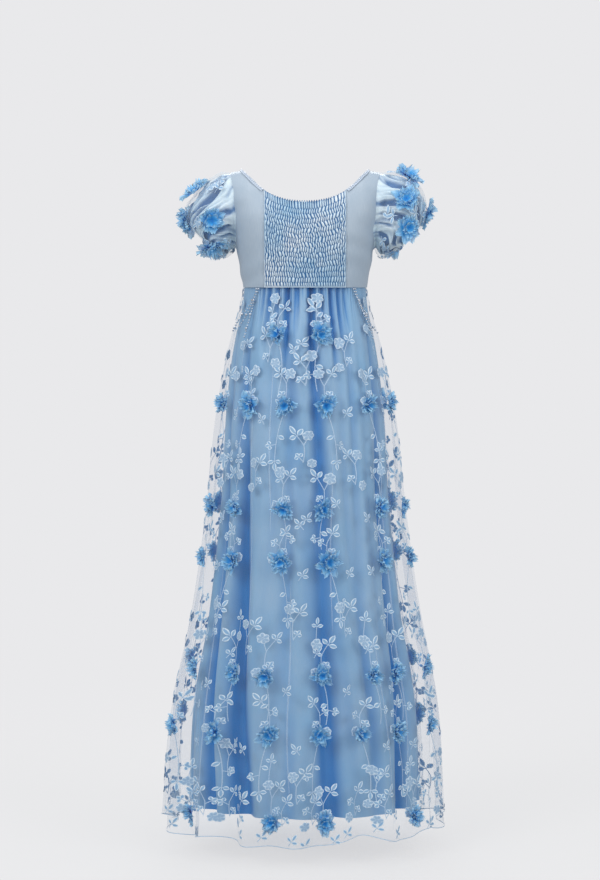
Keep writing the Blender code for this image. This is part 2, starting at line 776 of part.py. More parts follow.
def sleeve_aims(side):
    mirror = Matrix.Diagonal((1.0 if side == "left" else -1.0, 1.0, 1.0))
    aims = []
    for ring, angle in SLEEVE_FLOWERS[side]:
        on_puff = sleeve_point(side, ring, angle)
        inside = (on_puff + sleeve_point(side, ring, angle + 180.0)) / 2
        start = on_puff + (on_puff - inside).normalized() * 0.05
        aims.append((mirror @ start, mirror @ inside))
    return aims


def plant_flowers(target, aims):
    """Joins flowers to a net piece, so that both are one body."""
    name = target.name + "_flowers"
    combine(target, helper(name, flower_mesh(name, target.data, aims)), "UNION")


# ---------------------------------------------------------------- the gown

for old in list(bpy.data.objects):
    bpy.data.objects.remove(old, do_unlink=True)

gown = collection_named("regency_gown")
helpers = collection_named("helpers")

bodice_front()
side_back("bodice_side_back_left", 1)
side_back("bodice_side_back_right", -1)
shirred_back()
neck_binding()

halves = {half: half_space("keep_" + half, half == "back") for half in ("back", "front")}
skirt_halves("satin", SATIN_RINGS, satin_point, lambda angle: 0.0,
             "satin_skirt", SATIN_WALL, halves)
net_skirt = skirt_halves("net", NET_RINGS, net_point, net_hem_lift, "net", NET_WALL, halves)
for half, net_half in net_skirt.items():
    plant_flowers(net_half, skirt_aims(half))

for side in ("left", "right"):
    puff(side, "satin", "satin_sleeve", SATIN_WALL)
    plant_flowers(puff(side, "net", "net", NET_WALL), sleeve_aims(side))
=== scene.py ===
"""Looks of the Regency gown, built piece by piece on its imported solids.

The sections follow the gown as it is sewn: the satin skirt, the net skirt with its embroidery
and raised flowers, the shirred back, the plain bodice, the bound neck, the sleeves and the beads.
Metres, +Z up, -Y the gown's front, +X the wearer's left, the origin at the shoulders. Angles
round the body are degrees from the centre back, positive towards the wearer's left.
"""

import math

import bmesh
import bpy
import numpy as np
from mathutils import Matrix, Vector


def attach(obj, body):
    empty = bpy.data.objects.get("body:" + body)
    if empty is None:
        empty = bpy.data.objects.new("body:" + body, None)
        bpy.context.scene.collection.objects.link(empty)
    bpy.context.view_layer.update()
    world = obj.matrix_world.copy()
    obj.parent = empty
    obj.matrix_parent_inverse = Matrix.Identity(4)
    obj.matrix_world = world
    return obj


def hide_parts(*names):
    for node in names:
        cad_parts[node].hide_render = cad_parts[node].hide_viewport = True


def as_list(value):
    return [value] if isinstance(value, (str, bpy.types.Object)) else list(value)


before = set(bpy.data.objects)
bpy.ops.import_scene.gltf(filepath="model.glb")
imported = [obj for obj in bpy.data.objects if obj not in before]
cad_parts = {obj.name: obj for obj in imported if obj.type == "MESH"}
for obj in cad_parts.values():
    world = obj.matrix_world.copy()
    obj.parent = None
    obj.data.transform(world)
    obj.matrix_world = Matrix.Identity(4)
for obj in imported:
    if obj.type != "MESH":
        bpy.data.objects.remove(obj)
bpy.ops.object.select_all(action="DESELECT")
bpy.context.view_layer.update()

# ================================================================ studio
# A plain pale floor that fades into a pale background, soft light from large panels behind,
# beside, above and before the gown, and the camera behind it at chest height.

CAMERA_PLACE = (0.0107, 5.50, -0.26)
CAMERA_TARGET = (0.0107, 0.0, -0.573)
CAMERA_FIELD = 19.3             # upright field of view, degrees
FLOOR_Z = -1.440
FLOOR_RADIUS = 2.6
FLOOR_CLEAR = 0.76              # how clear the floor is at its middle
FLOOR_FADE_FROM = 0.5           # and from where outwards it fades into the background
BACKGROUND, FLOOR_COLOUR, FILL_COLOUR = "#E9E9EB", "#ECECEA", "#F4F6FA"
FILL_STRENGTH = 0.48
LIGHT_TARGET = (0.0, 0.0, -0.7)
LIGHT_PANELS = [
    # place, side, watts
    ((2.6, 3.4, 1.6), 2.2, 76.0),
    ((-2.9, 2.8, 0.9), 2.2, 46.0),
    ((0.2, 0.6, 3.0), 3.0, 46.0),
    ((0.0, -3.4, 1.4), 2.6, 56.0),
]


def linear(hex_colour):
    """A Blender colour from an sRGB hex value."""
    parts = [int(hex_colour[i:i + 2], 16) / 255 for i in (1, 3, 5)]
    return (*[c / 12.92 if c <= 0.04045 else ((c + 0.055) / 1.055) ** 2.4 for c in parts], 1.0)


def set_inputs(node, inputs):
    """Gives each input, by name or number, a value or another node's output."""
    for key, value in inputs.items():
        if isinstance(value, bpy.types.NodeSocket):
            node.id_data.links.new(value, node.inputs[key])
        else:
            node.inputs[key].default_value = value


def add_node(tree, kind, inputs=None, **settings):
    """Adds a shader node with its settings and its inputs."""
    made = tree.nodes.new("ShaderNode" + kind)
    for name, value in settings.items():
        setattr(made, name, value)
    set_inputs(made, inputs or {})
    return made


def start_finish(name):
    """A new material, its node tree and its Principled shader."""
    made = bpy.data.materials.new(name)
    made.use_nodes = True
    return made, made.node_tree, made.node_tree.nodes["Principled BSDF"]


def aim(thing, target):
    """Turns a camera or a light towards a point."""
    direction = Vector(target) - thing.location
    thing.rotation_euler = direction.to_track_quat("-Z", "Y").to_euler()


bpy.ops.object.camera_add(location=CAMERA_PLACE)
camera = bpy.context.object
aim(camera, CAMERA_TARGET)
camera.data.sensor_fit = "VERTICAL"
camera.data.angle = math.radians(CAMERA_FIELD)
bpy.context.scene.camera = camera
bpy.context.scene.view_settings.view_transform = "Standard"

for place, side, watts in LIGHT_PANELS:
    bpy.ops.object.light_add(type="AREA", location=place)
    panel = bpy.context.object
    panel.data.size = side
    panel.data.energy = watts
    aim(panel, LIGHT_TARGET)

world = bpy.data.worlds.new("pale_studio")
bpy.context.scene.world = world
world.use_nodes = True
air = world.node_tree
air.nodes.clear()
ray = add_node(air, "LightPath")
fill = add_node(air, "Background", {0: linear(FILL_COLOUR), 1: FILL_STRENGTH})
seen = add_node(air, "Background", {0: linear(BACKGROUND), 1: 1.0})
mixed = add_node(air, "MixShader",
                 {0: ray.outputs["Is Camera Ray"], 1: fill.outputs[0], 2: seen.outputs[0]})
add_node(air, "OutputWorld", {0: mixed.outputs[0]})

bpy.ops.mesh.primitive_circle_add(vertices=96, radius=FLOOR_RADIUS, fill_type="NGON",
                                  location=(0.0, 0.0, FLOOR_Z))
floor = bpy.context.object
floor.name = "floor"
paper, tree, _ = start_finish("matt_studio_paper")
tree.nodes.clear()
here = add_node(tree, "TexCoord")
away = add_node(tree, "VectorMath", {0: here.outputs["Object"]}, operation="LENGTH")
fade = add_node(tree, "MapRange",
                {"Value": away.outputs["Value"], "From Min": FLOOR_FADE_FROM,
                 "From Max": FLOOR_RADIUS, "To Min": FLOOR_CLEAR}, interpolation_type="SMOOTHSTEP")
matt = add_node(tree, "BsdfDiffuse", {"Color": linear(FLOOR_COLOUR)})
clear = add_node(tree, "BsdfTransparent")
ground = add_node(tree, "MixShader",
                  {0: fade.outputs["Result"], 1: matt.outputs[0], 2: clear.outputs[0]})
add_node(tree, "OutputMaterial", {0: ground.outputs[0]})
floor.data.materials.append(paper)

# ================================================================ satin skirt
# A back and a front of soft polyester satin, seamed at the sides and gathered into the empire
# seam under the shirred panel. They hang in long uneven folds to a narrow turned hem.

WAIST_Z = -0.2490           # empire seam, under the bust
SATIN_HEM_Z = -1.3450
HIP_Z = -0.5000
SKIRT_SECTIONS = [
    # z, half_width, back_depth, front_depth, squareness
    (-0.2490, 0.1310, 0.0980, 0.1010, 2.30),
    (-0.2900, 0.1350, 0.1060, 0.1060, 2.30),
    (-0.3500, 0.1480, 0.1200, 0.1150, 2.25),
    (-0.5000, 0.1680, 0.1420, 0.1320, 2.20),
    (-0.7000, 0.1800, 0.1600, 0.1470, 2.15),
    (-0.9200, 0.2060, 0.1800, 0.1660, 2.10),
    (-1.1300, 0.2420, 0.2000, 0.1860, 2.05),
    (-1.3450, 0.2520, 0.2180, 0.2050, 2.05),
    (-1.4000, 0.2540, 0.2220, 0.2090, 2.05),
]
LONG_FOLDS = [
    # angle_waist, angle_hem, half_angle, depth_waist, depth_hip, depth_hem
    (57.0, 33.0, 6.5, 0.0010, 0.0150, 0.0360),
    (80.0, 55.0, 5.5, 0.0000, 0.0080, 0.0260),
    (12.0, 8.0, 4.0, 0.0020, 0.0110, 0.0060),
    (-6.0, -13.0, 5.5, 0.0020, 0.0170, 0.0300),
    (-34.0, -36.0, 4.5, 0.0010, 0.0050, 0.0090),
    (-70.0, -57.0, 5.5, 0.0010, 0.0160, 0.0320),
    (-104.0, -82.0, 6.0, 0.0000, 0.0080, 0.0220),
    (104.0, 84.0, 6.0, 0.0000, 0.0080, 0.0220),
    (118.0, 112.0, 7.0, 0.0000, 0.0080, 0.0250),
    (-120.0, -112.0, 7.0, 0.0000, 0.0080, 0.0270),
    (146.0, 141.0, 7.0, 0.0010, 0.0080, 0.0240),
    (-150.0, -144.0, 7.0, 0.0010, 0.0080, 0.0230),
    (174.0, 171.0, 7.0, 0.0010, 0.0070, 0.0220),
]
GATHER_ANGLES = (41.0, 33.5, 24.0, 15.0, 6.0, -4.5, -13.5, -22.5, -30.5, -38.0)
GATHER_DEPTHS = (0.004, 0.006, 0.005, 0.009, 0.005, 0.009, 0.005, 0.008, 0.007, 0.004)
GATHER_LENGTHS = (0.09, 0.15, 0.11, 0.21, 0.10, 0.23, 0.12, 0.20, 0.17, 0.10)
GATHER_HALF_ANGLE = 2.6
PLEAT_ANGLE, SEAM_PLEAT_DEPTH = 3.1, 0.0036     # the fine pleats all round the seam
SATIN_CREASE, NET_CREASE = 0.0026, 0.0022       # height of the small creases
FRONT_LAP, LAP_DEPTH = 0.35, 0.0007     # degrees and metres that the front lies under the back
# A gather, a fold, a pleat or a crease of this depth gets the full painted shade.
GATHER_DARK, FOLD_DARK, PLEAT_DARK, CREASE_DARK = 0.0046, 0.019, 0.0040, 0.011
SATIN_TUCK = 0.0024             # the satin lies this far inside the net at the seam
HEM_TURN = 0.0120
SEAM_ALLOWANCE, ALLOWANCE_TUCK = 0.0080, 0.0016     # turned up this far inside the bodice
SATIN_CUT = {
    # width at the hem, length, area of the flared panel
    "back": (0.83, 1.11, 0.69),
    "front": (0.76, 1.11, 0.64),
}
BODICE_OVER = {
    "back": ["bodice_back_shirred", "bodice_side_back_left", "bodice_side_back_right"],
    "front": ["bodice_front"],
}
# The skirt satin's colour, its streaks' colour, and the painted shade for the bottoms of its folds.
SATIN_SKIRT_BLUE, SATIN_SKIRT_SHADE, SATIN_SKIRT_PAINTED_SHADE = "#9CBDD9", "#86B6DA", "#0C7CC6"
SATIN_STREAKS = (900.0, 60.0, 1.0)      # to the metre across and along the cloth
SEAM_SINK = 0.0006              # the skirts' upper edges lie this far below the bodice's


def curve(table, at):
    """The other columns of a table at values of its first column, on smooth curves."""
    rows = np.array(sorted(table), float)
    keys = rows[:, 0]
    at = np.clip(np.asarray(at, float), keys[0], keys[-1])
    low = np.clip(np.searchsorted(keys, at) - 1, 0, len(keys) - 2)
    step = (keys[low + 1] - keys[low])[..., None]
    share = (at - keys[low])[..., None] / step
    slopes = np.gradient(rows, keys, axis=0)
    rise = rows[low + 1] - rows[low]
    bend = (1 - share) * (slopes[low] * step - rise) + share * (rise - slopes[low + 1] * step)
    return np.moveaxis((rows[low] + rise * share + share * (1 - share) * bend)[..., 1:], -1, 0)


def bump(distance, half_width):
    return np.exp(-((distance / half_width) ** 2))


def apart(a, b):
    """Degrees from b to a."""
    return (a - b + 180.0) % 360.0 - 180.0


def signed_power(value, power):
    return np.sign(value) * np.abs(value) ** power


def uneven(number):
    """Fixed values from 0 to 1 that look random, one for each number."""
    return (np.sin(np.asarray(number, float) * 12.9898 + 4.1414) * 43758.5453) % 1.0


def section_xy(table, angle, z):
    """Points of the body's sections."""
    half_width, back_depth, front_depth, squareness = curve(table, z)
    turn = np.radians(angle)
    depth = np.where(np.cos(turn) > 0, back_depth, front_depth)
    return (half_width * signed_power(np.sin(turn), 2 / squareness),
            depth * signed_power(np.cos(turn), 2 / squareness))


def skirt_points(angle, z, outwards):
    x, y = section_xy(SKIRT_SECTIONS, angle, z)
    grown = 1 + outwards / np.hypot(x, y)
    return np.stack([x * grown, y * grown, z + 0 * x], -1)


def long_folds(angle, z):
    down = (WAIST_Z - z) / (WAIST_Z - SATIN_HEM_Z)
    above = np.clip((WAIST_Z - z) / (WAIST_Z - HIP_Z), 0, 1)
    below = np.clip((HIP_Z - z) / (HIP_Z - SATIN_HEM_Z), 0, 1)
    total = 0.0
    for angle_waist, angle_hem, half_angle, waist, hip, hem in LONG_FOLDS:
        depth = waist + (hip - waist) * above + (hem - hip) * below
        middle = angle_waist + (angle_hem - angle_waist) * down
        total = total + depth * bump(apart(angle, middle), half_angle)
    return total


def gathers(angle, z):
    """The short gathers under the shirred panel, each of its own length."""
    total = 0.0
    for middle, depth, length in zip(GATHER_ANGLES, GATHER_DEPTHS, GATHER_LENGTHS):
        left = np.clip(1.0 - (WAIST_Z - z) / length, 0.0, 1.0) ** 0.7
        total = total + depth * left * bump(apart(angle, middle), GATHER_HALF_ANGLE)
    return total


def small_creases(angle, z, size):
    """Soft ridges of uneven length and spacing between the long folds."""
    drop, turn = WAIST_Z - z, np.radians(angle)
    first = np.sin(19 * turn + 2.2 * np.sin(2.1 * drop + 3 * turn) + 5.0 * drop)
    second = np.sin(31 * turn - 3.0 * drop + 2.0 * np.sin(2 * turn + 4.0 * drop))
    share = 0.6 + 0.4 * np.sin(3.7 * turn + 4.0 * drop)
    return size * np.clip(drop / 0.2, 0, 1) * (first * share + 0.5 * second * (1.2 - share))


def pleats(angle, z):
    """Finer and sharper pleats at the seam, all round, that die out unevenly."""
    drop = WAIST_Z - z
    number = np.floor(angle / PLEAT_ANGLE)
    length = 0.03 + 0.09 * uneven(number * 7 + 2)
    left = np.clip(1.0 - drop / length, 0.0, 1.0)
    wide = np.where(np.abs(angle) < 46.0, 1.0, 0.35)
    shape = (0.5 - 0.5 * np.cos(math.tau * angle / PLEAT_ANGLE)) ** 3
    return SEAM_PLEAT_DEPTH * wide * left * shape


def satin_points(angle, z):
    """Points of the satin, and how far down in a fold they lie, for the painted shade there."""
    short, long, fine = gathers(angle, z), long_folds(angle, z), pleats(angle, z)
    crease = small_creases(angle, z, SATIN_CREASE)
    # Painted shade: darkest in gathers, folds and pleats, and less on the creases' ridges.
    fold_shade = ((short / GATHER_DARK) ** 1.4 + long / FOLD_DARK + fine / PLEAT_DARK
              - crease / CREASE_DARK - 0.06)
    return skirt_points(angle, z, crease - SATIN_TUCK - long - 2.0 * short - fine), fold_shade


def half_skirt(start, across):
    """Angles across a half of the skirt, and how far its edges lie under the other half's.

    The front is cut a little wider than its half, and its edges lie just inside the back's.
    """
    lap, depth = (FRONT_LAP, LAP_DEPTH) if start > 0 else (0.0, 0.0)
    angle = start - lap + (180.0 + 2 * lap) * across
    return angle, depth * bump(np.minimum(across, 1 - across), 0.008)


def values(rows, name, size):
    """One of the values of a mesh's points, faces or corners, as an array."""
    found = np.zeros(len(rows) * size)
    rows.foreach_get(name, found)
    return found.reshape(-1, size)


def flat_cloth(name, width, length, columns, rows):
    """A flat rectangle of cloth with a UV map in metres, and its points' shares of both sides."""
    bpy.ops.mesh.primitive_grid_add(x_subdivisions=columns, y_subdivisions=rows, size=1.0,
                                    calc_uvs=True)
    cloth = bpy.context.object
    cloth.name = cloth.data.name = name
    layer = cloth.data.uv_layers[0].data
    layer.foreach_set("uv", (values(layer, "uv", 2) * (width, length)).ravel())
    shares = values(cloth.data.vertices, "co", 3) + 0.5
    return cloth, shares[:, 0], shares[:, 1]


def merge_edges(mesh, distance, turn_over=False):
    """Merges the points that lie this close, and turns all faces over if asked."""
    shape = bmesh.new()
    shape.from_mesh(mesh)
    if turn_over:
        bmesh.ops.reverse_faces(shape, faces=shape.faces)
    bmesh.ops.remove_doubles(shape, verts=shape.verts, dist=distance)
    shape.to_mesh(mesh)
    shape.free()


def lay(cloth, finish, points, inside=None, fold_shade=0.0):
    """Moves the cloth to where it is worn, its right side away from `inside`, edges merged.

    `inside` is a point, or else the upright line through the origin. The last argument is how far
    down in a fold each point lies, from 0 to 1, for a painted shade there in the satin.
    """
    mesh = cloth.data
    mesh.materials.append(finish)
    depth = mesh.attributes.new("fold_shade", "FLOAT", "POINT")
    depth.data.foreach_set("value", np.clip(fold_shade + np.zeros(len(points)), 0, 1))
    mesh.vertices.foreach_set("co", np.ascontiguousarray(points, float).ravel())
    mesh.update()
    away = values(mesh.polygons, "center", 3) - (0.0 if inside is None else inside)
    if inside is None:
        away[:, 2] = 0.0
    merge_edges(mesh, 1e-5, (away * values(mesh.polygons, "normal", 3)).sum() < 0)
    mesh.shade_smooth()


def satin(name, colour, shade, streak, deep, roughness=0.42):
    """Polyester satin: bright long floats with a streaky shine, and a painted shade, a deeper blue,
    down in folds.

    The floats are too fine to show, so they are drawn about 1 mm wide and 17 mm long.
    """
    made, tree, shader = start_finish(name)
    uv = add_node(tree, "UVMap")
    threads = add_node(tree, "Mapping", {"Vector": uv.outputs[0], "Scale": SATIN_STREAKS})
    floats = add_node(tree, "TexNoise",
                      {"Vector": threads.outputs[0], "Scale": 1.0, "Detail": 2.0})
    patches = add_node(tree, "TexNoise", {"Vector": uv.outputs[0], "Scale": 7.0, "Detail": 3.0})
    tones = add_node(tree, "Mix", {0: streak, 2: patches.outputs["Fac"],
                                   3: floats.outputs["Fac"]}, data_type="FLOAT")
    ramp = add_node(tree, "MapRange",
                    {"Value": tones.outputs[0], "From Min": 0.35, "From Max": 0.65})
    mix = add_node(tree, "Mix", {0: ramp.outputs[0], 6: linear(shade), 7: linear(colour)},
                   data_type="RGBA")
    weave = add_node(tree, "Bump",
                     {"Height": floats.outputs["Fac"], "Strength": 0.15, "Distance": 0.0003})
    # Painted shade: the deeper blue is mixed in where the point's fold mask is high.
    fold_shade = add_node(tree, "Attribute", attribute_name="fold_shade")
    folded = add_node(tree, "Mix", {0: fold_shade.outputs["Fac"], 6: mix.outputs[2], 7: linear(deep)},
                      data_type="RGBA")
    set_inputs(shader, {"Base Color": folded.outputs[2], "Normal": weave.outputs[0],
                        "Roughness": roughness, "Specular IOR Level": 0.3, "Sheen Weight": 0.05})
    return made


satin_skirt_finish = satin("skirt_polyester_satin", SATIN_SKIRT_BLUE, SATIN_SKIRT_SHADE, 0.35,
                            SATIN_SKIRT_PAINTED_SHADE)
for half, start, columns, rows in (("back", -90.0, 250, 150), ("front", 90.0, 190, 120)):
    width, length, area = SATIN_CUT[half]
    skirt, across, down = flat_cloth(f"satin_skirt_{half}", width, length, columns, rows)
    row = (1 - down) * rows
    z = WAIST_Z - SEAM_SINK + (SATIN_HEM_Z - WAIST_Z) * np.clip((row - 1) / (rows - 1), 0, 1)
    angle, under = half_skirt(start, across)
    points, fold_shade = satin_points(angle, z)
    turned_up = skirt_points(angle, z + SEAM_ALLOWANCE, -ALLOWANCE_TUCK)
    points = np.where((row < 0.5)[:, None], turned_up, points)
    stitches = bump(z - (SATIN_HEM_Z + HEM_TURN), 0.004)
    points[:, :2] *= (1 - 0.003 * stitches - under / 0.17)[:, None]
    lay(skirt, satin_skirt_finish, points, fold_shade=fold_shade)
    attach(skirt, "root")
    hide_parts(f"skirt_satin_{half}")
    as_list(BODICE_OVER[half])

# ================================================================ net skirt
# A back and a front of fine soft tulle over the satin, longer than it and with a raw uneven
# hem. Its mesh is finer than can be seen, so it is one thin veil of colour.

NET_HEM_Z = -1.3970
NET_STAND_OFF = [
    # z, stand_off, ripple
    (-0.2490, 0.0024, 0.0000),
    (-0.3000, 0.0060, 0.0006),
    (-0.4000, 0.0130, 0.0025),
    (-0.6000, 0.0260, 0.0050),
    (-0.8500, 0.0330, 0.0070),
    (-1.1000, 0.0400, 0.0100),
    (-1.2500, 0.0440, 0.0120),
    (-1.4000, 0.0460, 0.0140),
]
NET_FOLLOWS = 0.55          # share of a satin fold that the net sinks into
NET_RIPPLES = 17
NET_HEM_LIFTS = [
    # angle, half_angle, lift
    (-24.0, 11.0, 0.020),
    (-62.0, 10.0, 0.016),
    (42.0, 10.0, 0.012),
    (88.0, 14.0, 0.020),
    (-104.0, 14.0, 0.018),
    (132.0, 13.0, 0.014),
    (-150.0, 12.0, 0.016),
]
NET_CUT = {"back": (1.01, 1.17, 0.83), "front": (1.00, 1.17, 0.81)}
NET_BLUE, NET_CROWDED = "#9CB8D8", "#C6D8EA"
CREASE_BLUE, CREASE_CROWDED = "#C2D6EC", "#E4EEF8"
NET_COVER, CREASE_COVER = 0.12, 0.28    # share of the area that is thread
NET_HOLE = 0.004                        # as drawn


def net_points(angle, z, outwards=0.0):
    stand_off, ripple = curve(NET_STAND_OFF, z)
    stand_off = stand_off * (0.65 + 0.35 * np.abs(np.sin(np.radians(angle))))
    wave = np.sin(np.radians(angle * NET_RIPPLES + 40.0 * np.sin(np.radians(3 * angle))))
    sunk = NET_FOLLOWS * long_folds(angle, z) + gathers(angle, z)
    own = stand_off - SATIN_TUCK + ripple * wave - sunk + small_creases(angle, z, NET_CREASE)
    return skirt_points(angle, z, own + outwards)


def hem_lift(angle):
    return sum(lift * bump(apart(angle, middle), half_angle)
               for middle, half_angle, lift in NET_HEM_LIFTS)


def tulle(name, colour, crowded_colour, cover):
    """Soft nylon tulle: a thin matt veil, a little whiter where its fine mesh is crowded.

    Its 1 mm holes are too fine to show, so they are drawn 4 mm wide and only as a faint relief.
    """
    made, tree, shader = start_finish(name)
    uv = add_node(tree, "UVMap")
    crowded = add_node(tree, "TexNoise", {"Vector": uv.outputs[0], "Scale": 26.0, "Detail": 3.0})
    mix = add_node(tree, "Mix", {0: crowded.outputs["Fac"], 6: linear(colour),
                                 7: linear(crowded_colour)}, data_type="RGBA")
    holes = add_node(tree, "TexVoronoi", {"Vector": uv.outputs[0], "Scale": 1 / NET_HOLE})
    relief = add_node(tree, "Bump", {"Height": holes.outputs["Distance"], "Strength": 0.25,
                                     "Distance": 0.0005})
    set_inputs(shader, {"Base Color": mix.outputs[2], "Normal": relief.outputs[0],
                        "Alpha": cover, "Roughness": 0.7})
    return made


net_finish = tulle("soft_nylon_tulle", NET_BLUE, NET_CROWDED, NET_COVER)
nets, sewn_to_net = {}, {"back": [], "front": []}
for half, start, columns, rows in (("back", -90.0, 270, 160), ("front", 90.0, 200, 130)):
    width, length, area = NET_CUT[half]
    net, across, down = flat_cloth(f"net_skirt_{half}", width, length, columns, rows)
    angle, under = half_skirt(start, across)
    drop = (WAIST_Z - NET_HEM_Z - hem_lift(angle)) * (1 - down)
    lay(net, net_finish, net_points(angle, WAIST_Z - SEAM_SINK - drop, -under))
    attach(net, "root")
    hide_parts(f"skirt_net_{half}")
    nets[half] = net

NET_CREASES = [
    # angle at the waist and at the hem, top and bottom as shares of the drop
    (37.0, 22.0, 0.22, 0.70),
    (20.0, 20.5, 0.12, 0.44),
    (9.0, 5.0, 0.52, 0.93),
    (-14.0, -13.0, 0.30, 0.62),
    (-33.0, -36.0, 0.62, 0.98),
    (-55.0, -47.0, 0.24, 0.97),
    (56.0, 45.0, 0.45, 0.98),
    (-84.0, -70.0, 0.45, 0.97),
    (80.0, 66.0, 0.40, 0.90),
    (128.0, 124.0, 0.20, 0.70),
    (166.0, 163.0, 0.40, 0.95),
    (-130.0, -128.0, 0.25, 0.80),
    (-160.0, -166.0, 0.45, 0.97),
]
CREASE_HALF_WIDTH = 0.35        # degrees


def take_shape():
    """Points and faces of the object that was just added, which is then removed."""
    made = bpy.context.object
    points = values(made.data.vertices, "co", 3)
    faces = np.array([tuple(face.vertices) for face in made.data.polygons])
    bpy.data.objects.remove(made, do_unlink=True)
    return points, faces


def template(columns, rows):
    """A small flat grid to copy: its points across from -1 to 1, along from 0 to 1, and faces."""
    bpy.ops.mesh.primitive_grid_add(x_subdivisions=columns, y_subdivisions=rows, size=2.0)
    points, faces = take_shape()
    return points[:, 0], points[:, 1] / 2 + 0.5, faces


def many(name, copies, shape, finish):
    """One mesh of many copies of a template, with across and along as its UV map."""
    across, along, faces = shape
    count, size = copies.shape[:2]
    mesh = bpy.data.meshes.new(name)
    all_faces = (faces[None] + (np.arange(count) * size)[:, None, None]).reshape(-1, faces.shape[1])
    mesh.from_pydata(copies.reshape(-1, 3).tolist(), [], all_faces.tolist())
    corner = np.tile(faces.ravel(), count)
    mesh.uv_layers.new(name="UVMap").data.foreach_set(
        "uv", np.stack([across[corner], along[corner]], -1).ravel())
    mesh.shade_smooth()
    mesh.materials.append(finish)
    made = bpy.data.objects.new(name, mesh)
    bpy.context.scene.collection.objects.link(made)
    return made


# Where the net is creased three layers of it lie on each other, in a fine pale line.
crease_shape = template(2, 60)
crease_across, crease_along, _ = crease_shape
crease_finish = tulle("creased_nylon_tulle", CREASE_BLUE, CREASE_CROWDED, CREASE_COVER)
creases = {"back": [], "front": []}
for number, (high, low, top, bottom) in enumerate(NET_CREASES):
    share = top + (bottom - top) * crease_along
    half_width = CREASE_HALF_WIDTH * np.sin(np.pi * np.clip(crease_along, 0.02, 0.98)) ** 0.5
    wander = 1.1 * np.sin(7.0 * share + number) + 0.4 * np.sin(23.0 * share + number)
    angle = high + (low - high) * share + wander + half_width * crease_across
    drop = (WAIST_Z - NET_HEM_Z - hem_lift(angle)) * share
    creases["back" if abs(high) < 90.0 else "front"].append(
        net_points(angle, WAIST_Z - drop, 0.0007))
for half, lines in creases.items():
    crease = many(f"net_creases_{half}", np.array(lines), crease_shape, crease_finish)
    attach(crease, "root")
    sewn_to_net[half].append(crease)

# ================================================================ embroidery of the net skirt
# Stems that wander down the net, with pointed leaves, side sprigs and six-petalled flowers, in
# pale rayon thread. It is worked through the net, so it lies on its face.

LEAF_LENGTH, LEAF_HALF_WIDTH = 0.0200, 0.0044
STEM_HALF_WIDTH = 0.0007
STEM_STEP = 0.006               # a stem curls in steps of this length
BUD_LENGTH = 0.0095
SEWN_PETAL = 0.0115
SIDE_SEAM_ANGLES = (-96.0, 94.0)
HEM_SPRAY_ANGLES = {
    "back": (-78.0, -62.0, -50.0, -33.0, -21.0, -3.0, 9.0, 27.0, 36.0, 44.0, 61.0, 75.0),
    "front": (97.0, 110.0, 128.0, 141.0, 160.0, 173.0, 192.0, 207.0, 221.0, 238.0, 252.0, 266.0),
}
SEAM_SPRAYS = [
    # angle, height of a sewn flower just under the empire seam
    (25.0, -0.272),
    (-9.0, -0.271),
    (72.0, -0.285),
    (-66.0, -0.280),
    (128.0, -0.275),
    (176.0, -0.272),
    (-135.0, -0.276),
]
THREAD, THREAD_SHADE, FLOWER_THREAD, FLOWER_SHADE = "#DCECF6", "#8AB2D6", "#D0E2F0", "#98B8D6"
THREAD_LIFT = 0.0010            # the thread lies this far off the net
HEM_ROLL = 0.0016               # width of the hem's rolled edge


def thread(name, colour, shade):
    """Rayon thread: a bright cord round each shape and a sheerer, uneven middle.

    The stitches are too fine to show, so they are drawn about 1.4 mm wide.
    """
    made, tree, shader = start_finish(name)
    uv = add_node(tree, "UVMap")
    place = add_node(tree, "TexCoord")
    parts = add_node(tree, "SeparateXYZ", {0: uv.outputs[0]})
    beside = add_node(tree, "Math", {0: parts.outputs[0]}, operation="ABSOLUTE")
    beyond = add_node(tree, "Math", {0: parts.outputs[1], 1: 5.0}, operation="POWER")
    edge = add_node(tree, "Math", {0: beside.outputs[0], 1: beyond.outputs[0]}, operation="MAXIMUM")
    stitches = add_node(tree, "TexNoise",
                        {"Vector": place.outputs["Object"], "Scale": 700.0, "Detail": 1.0})
    uneven_edge = add_node(tree, "Math", {0: stitches.outputs["Fac"], 1: 0.5, 2: edge.outputs[0]},
                           operation="MULTIPLY_ADD")
    ramp = add_node(tree, "MapRange",
                    {"Value": uneven_edge.outputs[0], "From Min": 0.62, "From Max": 1.0})
    mix = add_node(tree, "Mix", {0: ramp.outputs[0], 6: linear(shade), 7: linear(colour)},
                   data_type="RGBA")
    set_inputs(shader, {"Base Color": mix.outputs[2], "Roughness": 0.5, "Sheen Weight": 0.2})
    return made


def ahead(place, heading, distance):
    """The place this far on in a direction."""
    return place[0] + distance * math.cos(heading), place[1] + distance * math.sin(heading)


